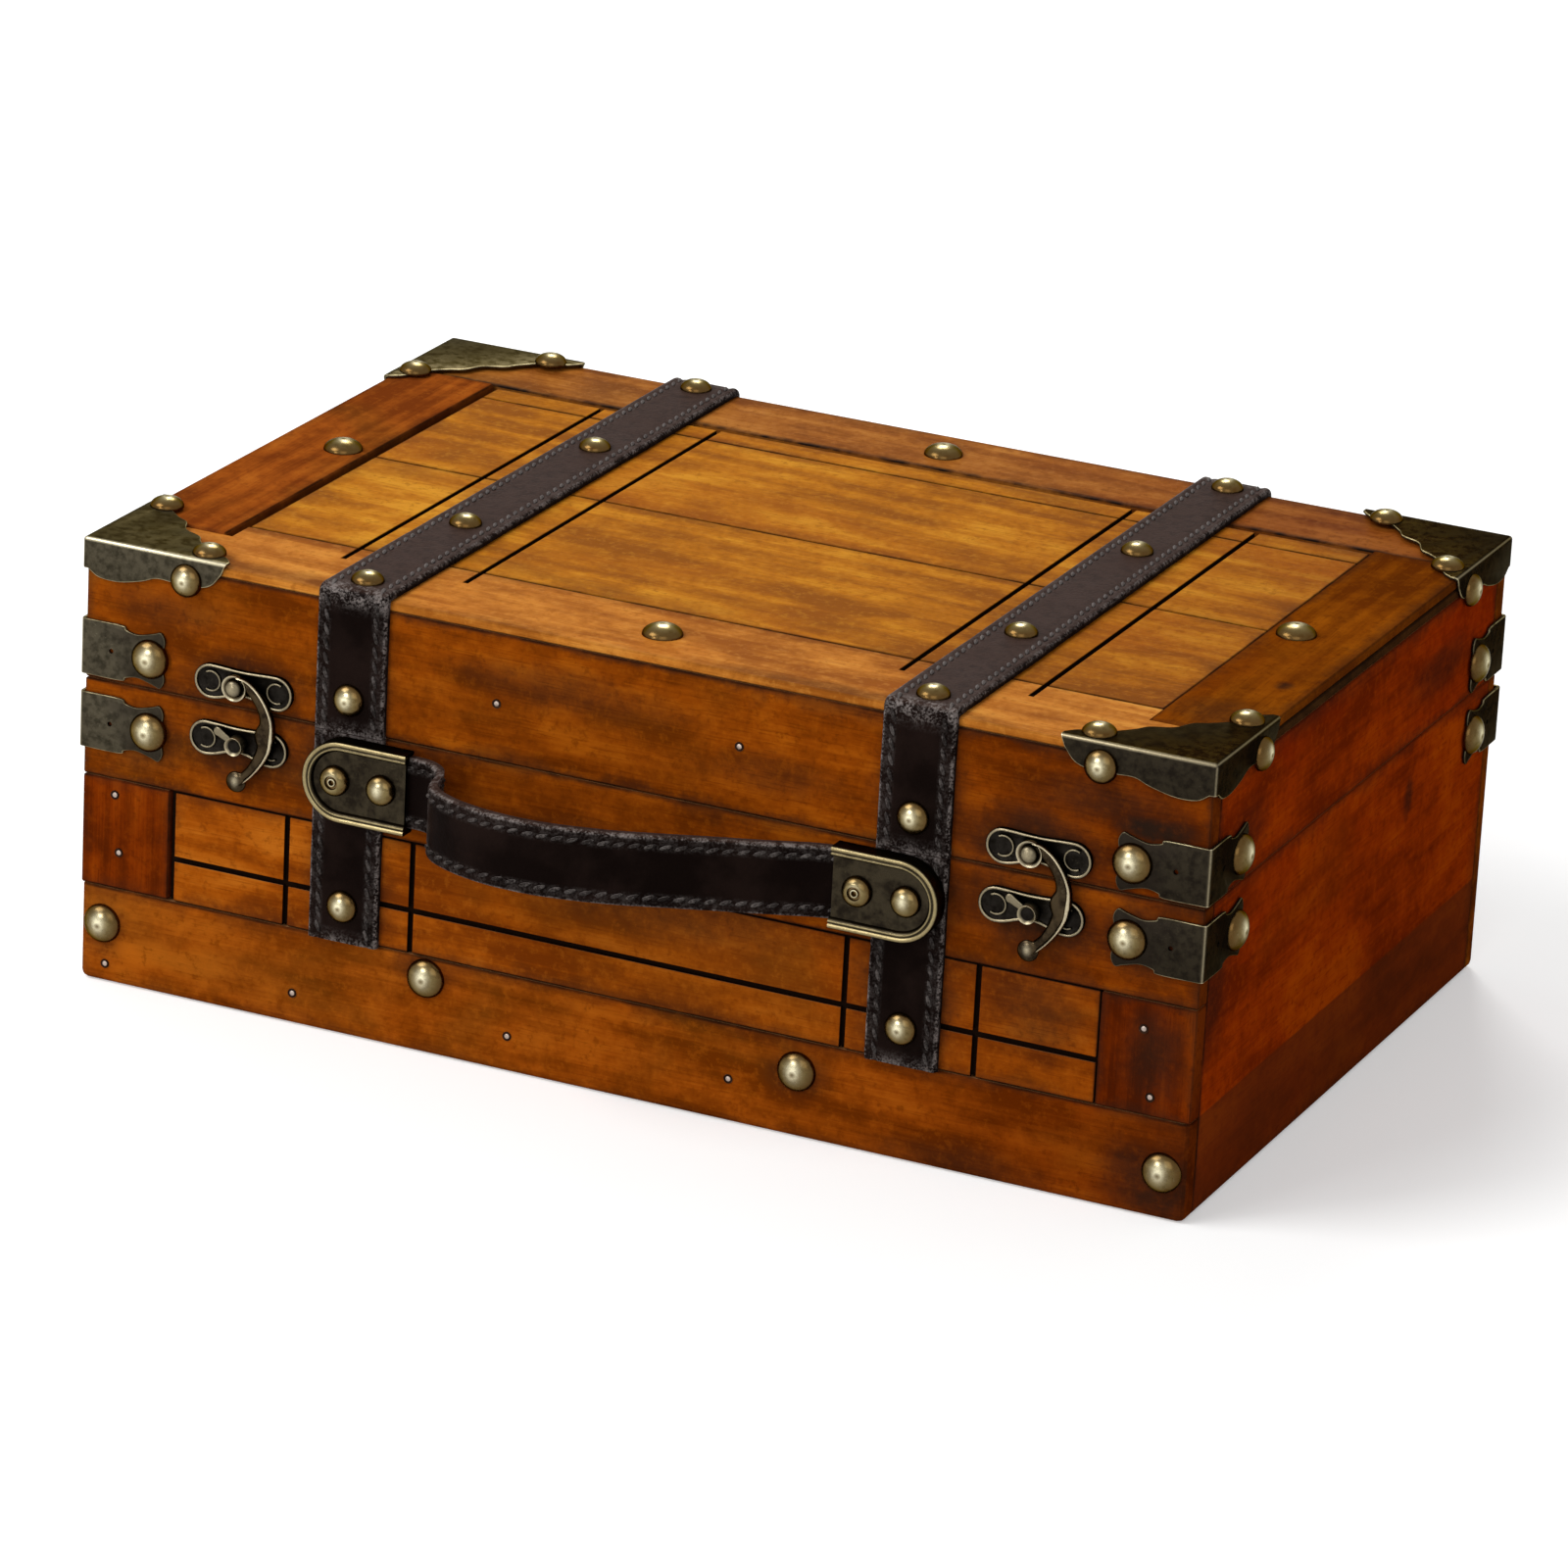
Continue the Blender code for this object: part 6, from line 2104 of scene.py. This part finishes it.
    def stud_model(self) -> Object:
        """Model the catch's round stud and the short arm beside it.

        Returns:
            The model.
        """
        top = self.stud_rise + self.sheet / 2
        stud = rod("stud", 28, self.stud_radius, top)
        stud.data.transform(Matrix.Translation((0, 0, top / 2)))
        inset_top(stud, top, self.stud_radius * 0.34, self.stud_rise * 0.26)
        soften(stud, 0.00028, 3, 50)
        rise = top / 2 + self.sheet / 4
        reach = self.arm - self.arm_width / 2
        tip = arc(Vector((-reach, 0, 0)), self.arm_width * 0.55, 60, 300, 10)
        root = self.arm_width * 0.30
        arm = plate("stud_arm", [(0.0, root), *[point.xy[:] for point in tip], (0.0, -root)], rise)
        arm.data.transform(Matrix.Rotation(-math.radians(self.arm_tilt), 4, "Z"))
        soften(arm, 0.0004, 3, 40)
        stud = shade(united(stud, arm), 40)

        def wear_and_highlight(point: Vector) -> float:
            """Rub the stud's ring and the top of the arm.

            Args:
                point: A point of the stud or the arm.

            Returns:
                The wear.
            """
            if point.z > top * 0.9:
                return 0.85 if point.xy.length > self.stud_radius * 0.5 else 0.0
            return 0.45 if abs(point.z - rise) < rise * 0.12 else 0.0

        return paint(stud, "wear_and_highlight", wear_and_highlight)

    def hook_model(self) -> Object:
        """Model a hook about its rivet: eye, curved leaf with a bright outer edge, and knob.

        Returns:
            The model.
        """
        points = [Vector((out * self.hook_bulge, -down * self.hook_drop, 0))
                  for out, down, _ in self.hook_shares]
        sizes = [Vector((share, 0, 0)) for _, _, share in self.hook_shares]
        line = smooth_line(points, 5)
        wide = [value.x for value in smooth_line(sizes, 5)]
        half = self.hook_thickness / 2
        section = [(self.hook_radius * across, self.hook_thickness * rise)
                   for across, rise in self.hook_section]
        stations = [station @ Matrix.Diagonal((scale, 1, 1, 1))
                    for station, scale in zip(stations_along(line), wide)]
        leaf = swept("hook_model", section, stations)
        eye = rod("hook_eye", 32, self.hook_eye, self.hook_thickness)
        eye.data.transform(Matrix.Translation((0, 0, half)))
        inset_top(eye, self.hook_thickness, self.hook_eye * 0.22, self.hook_thickness * 0.22)
        soften(eye, 0.0003, 2, 50)
        tip = line[-1]
        knob = ball("hook_knob", 24, 14)
        knob.data.transform(Matrix.Translation((*tip.xy, half))
                            @ Matrix.Diagonal((self.hook_knob, self.hook_knob, half, 1)))
        hook = united(leaf, eye, knob)

        def wear_and_highlight(point: Vector) -> float:
            """Rub the outer edge and the eye's ring, and give the knob polish and a painted
            highlight.

            Args:
                point: A point of the hook.

            Returns:
                The wear.
            """
            height = point.z / self.hook_thickness
            if (point.xy - tip.xy).length < self.hook_knob * 1.02:
                return crown((point - tip) / self.hook_knob, 0.55) * min(1.0, height * 1.5)
            if point.xy.length < self.hook_eye:
                return 0.70 if point.xy.length > self.hook_eye * 0.72 and height > 0.85 else 0.0
            return 0.80 if height > 0.90 else 0.0

        return paint(shade(face_outwards(hook), 50), "wear_and_highlight", wear_and_highlight)

    def rivet_model(self) -> Object:
        """Model the rivet that a hook swings on.

        Returns:
            The model.
        """
        obj = dome("pivot_head", 28, 16)
        with editing(obj):
            stretch(self.pivot_radius, self.pivot_radius, self.pivot_rise)
        paint(obj, "wear_and_highlight", lambda point: 0.75 * (1 - point.xy.length / self.pivot_radius) ** 0.5
              if point.xy.length < self.pivot_radius else 0.0)
        return shade(face_outwards(obj), 40)

    def build(self) -> None:
        """Make both latches."""
        black, bronze = LATCH_BLACK.material(), HOOK_BRONZE.material()
        base, stud = dress(self.plate_model(), black), dress(self.stud_model(), black)
        hook, rivet = dress(self.hook_model(), bronze), dress(self.rivet_model(), black)
        low, high = CASE.split - self.catch_drop, CASE.split + self.plate_rise
        back = 2 * CASE.gap + self.sheet
        for side_name, x in self.places_x:
            at, axis = x - self.catch_shift, x - self.pivot_shift
            catch = joined(*[copies("catch", model, [Face.FRONT.place(at, low, out)])
                             for model, out in ((base, CASE.gap),
                                                (stud, CASE.gap + self.sheet / 2))])
            catch.name = catch.data.name = f"latch_catch_{side_name}_studded"
            settle(catch, "box", "latch_bronze", f"latch_catch_{side_name}")
            for body, part, form, model, slot, middle, out in (
                    ("lid", "plate", "wired", base, "latch_bronze", x, CASE.gap),
                    (f"hook_{side_name}", "hook", "cast", hook, "hook_bronze", axis, back),
                    ("lid", "pivot", "head", rivet, "latch_bronze", axis,
                     back + self.hook_thickness)):
                node = f"latch_{part}_{side_name}"
                place = Face.FRONT.place(middle, high, out)
                settle(copies(f"{node}_{form}", model, [place]), body, slot, node)
        discard(base, stud, hook, rivet)


@dataclass
class BackHinges:
    """The hinges at the back, which keep their nodes and get screws."""

    inset: float = 0.049
    leaf_face: float = 0.0013
    screw_radius: float = 0.0015
    screw_rise: float = 0.0006
    screw_apart: float = 0.0078
    screw_out: float = 0.0066
    slot_width: float = 0.0005

    def screw(self) -> Object:
        """Model a round screw head with a slot.

        Returns:
            The model.
        """
        head = rod("screw", 20, self.screw_radius, self.screw_rise)
        head.data.transform(Matrix.Translation((0, 0, self.screw_rise / 2)))
        soften(head, self.screw_rise * 0.45, 3, 50)
        bpy.ops.mesh.primitive_cube_add(size=1.0)
        slot = named("screw_slot")
        slot.data.transform(Matrix.Translation((0, 0, self.screw_rise)) @ Matrix.Diagonal(
            (self.screw_radius * 3, self.slot_width, self.screw_rise, 1)))
        united(head, slot, operation="DIFFERENCE")
        return paint(shade(head, 40), "wear_and_highlight", lambda point: 0.6)

    def build(self) -> None:
        """Dress the hinges and drive their screws."""
        bronze = HINGE_BRONZE.material()
        screw = dress(self.screw(), NAIL_BRASS.material())
        for side_name in SIDES:
            for part in ("hinge_lid_leaf", "hinge_box_leaf", "hinge_pin"):
                dress(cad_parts[f"{part}_{side_name}"], bronze)
                LOG.info("%s_%s dressed", part, side_name)
        for body, way in (("lid", 1), ("box", -1)):
            places = []
            for side in SIDES.values():
                for step in (-1, 1):
                    x = side * (CASE.half_length - self.inset) + step * self.screw_apart
                    spot = Face.BACK.place(x, CASE.split + way * self.screw_out, self.leaf_face)
                    places.append(spot @ Matrix.Rotation(step + x * 40, 4, "Z"))
            settle(copies(f"{body}_hinge_screws", screw, places), body, "bronze_sheet")
        discard(screw)


@dataclass
class Brads:
    """The small brads that pin the boards, seen as dark rings with a light middle."""

    radius: float = 0.0013
    rise: float = 0.00022
    lid_places: tuple[Point, ...] = ((125, 104.6), (196.4, 106.6))
    box_places: tuple[Point, ...] = (
        (10, 55.6), (11.6, 39), (8, 5.6), (66.4, 9.2), (132, 10.6), (198, 12.6), (315.4, 52.2),
        (318.4, 33.6))

    def model(self) -> Object:
        """Model one brad's flat head with its sunk ring.

        Returns:
            The model.
        """
        obj = rod("brad", 16, self.radius, self.rise * 2)
        inset_top(obj, self.rise, self.radius * 0.40, self.rise * 0.5)
        inset_top(obj, self.rise * 0.5, self.radius * 0.12, -self.rise * 0.5)
        paint(obj, "wear_and_highlight", lambda point: 1.0 if point.xy.length < self.radius * 0.5 else 0.0)
        return shade(obj, 40)

    def build(self) -> None:
        """Drive the brads of the front."""
        model = dress(self.model(), BRAD_STEEL.material())
        for body, points in (("lid", self.lid_places), ("box", self.box_places)):
            places = [Face.FRONT.place(x * MILLIMETRE - CASE.half_length, z * MILLIMETRE)
                      for x, z in points]
            settle(copies(f"{body}_front_brads", model, places), body, "nail_brass")
        discard(model)


@dataclass
class Studio:
    """Floor, soft lights, world and camera."""

    floor_size: float = 12.0
    floor_colour: Colour = (0.86, 0.86, 0.855)
    lens: float = 186.27
    location: tuple[float, float, float] = (0.85459285, -1.93485023, 0.83378576)
    turn: tuple[float, float, float] = (1.21781949, -0.04935039, 0.43554044)

    def floor(self) -> None:
        """Lay the pale floor."""
        bpy.ops.mesh.primitive_plane_add(size=self.floor_size, location=(0, 0, -0.0002))
        floor = named("studio_floor")
        graph = FinishGraph("pale_floor")
        grain = graph.clouds(graph.place, 90.0, 3.0)
        colour = graph.blend(graph.span(grain, 0.3, 0.7, 0.0, 0.02), self.floor_colour,
                             (0.80, 0.80, 0.80))
        graph.finish(colour, 0.85, graph.relief(grain, 0.02, 0.0002))
        graph.feed(graph.shader.inputs["Emission Color"], (1.0, 1.0, 1.0, 1.0))
        glow = graph.span(graph.length(graph.place), 0.8, 2.4, 0.34, 1.0)
        graph.feed(graph.shader.inputs["Emission Strength"],
                   graph.times(background_rays(graph.tree), glow))
        dress(floor, graph.material)

    def lamp(self, name: str, place: Sequence[float], size: float, power: float) -> None:
        """Hang a soft square lamp that looks at the case.

        Args:
            name: Its name.
            place: Where it hangs.
            size: Side of the square.
            power: Power in watts.
        """
        data = bpy.data.lights.new(name, "AREA")
        data.shape = "SQUARE"
        data.size = size
        data.energy = power
        lamp = bpy.data.objects.new(name, data)
        lamp.location = place
        look = Vector((0, 0, CASE.height / 2)) - Vector(place)
        lamp.rotation_euler = look.to_track_quat("-Z", "Y").to_euler()
        bpy.context.scene.collection.objects.link(lamp)

    def world(self) -> None:
        """Make the surroundings: white where seen, softer as light."""
        world = bpy.data.worlds.new("studio_world")
        world.use_nodes = True
        bpy.context.scene.world = world
        nodes = world.node_tree.nodes
        links = world.node_tree.links
        background = nodes["Background"]
        background.inputs["Color"].default_value = (1, 1, 1, 1)
        level = nodes.new("ShaderNodeMapRange")
        links.new(background_rays(world.node_tree), level.inputs[0])
        level.inputs[3].default_value = 0.30
        level.inputs[4].default_value = 1.0
        links.new(level.outputs[0], background.inputs["Strength"])

    def camera(self) -> None:
        """Set the camera at the photograph's viewing angle."""
        data = bpy.data.cameras.new("camera")
        data.lens = self.lens
        data.sensor_width = 36.0
        data.clip_start = 0.05
        data.clip_end = 50.0
        camera = bpy.data.objects.new("camera", data)
        camera.location = self.location
        camera.rotation_euler = self.turn
        bpy.context.scene.collection.objects.link(camera)
        bpy.context.scene.camera = camera

    def build(self) -> None:
        """Set up the studio."""
        self.floor()
        self.lamp("key_lamp", (-1.1, -1.0, 1.5), 1.0, 24.0)
        self.lamp("front_lamp", (0.9, -1.9, 1.2), 1.4, 10.5)
        self.lamp("glint_lamp", (-0.75, -1.9, 0.75), 0.5, 8.0)
        self.lamp("back_lamp", (-0.6, 1.3, 1.5), 0.6, 14.0)
        self.world()
        self.camera()
        bpy.context.scene.view_settings.view_transform = "Standard"


def main() -> None:
    """Build and dress every sub-assembly in order."""
    logging.basicConfig(level=logging.INFO, format="%(name)s: %(message)s")
    Studio().build()
    for assembly in (Boards(), FoldedSheet(), DomeNails(), LeatherStraps(), CarryHandle(),
                     HandleClips(), SwingLatches(), BackHinges(), Brads()):
        assembly.build()
        LOG.info("%s ready", type(assembly).__name__)


if __name__ == "__main__":
    main()
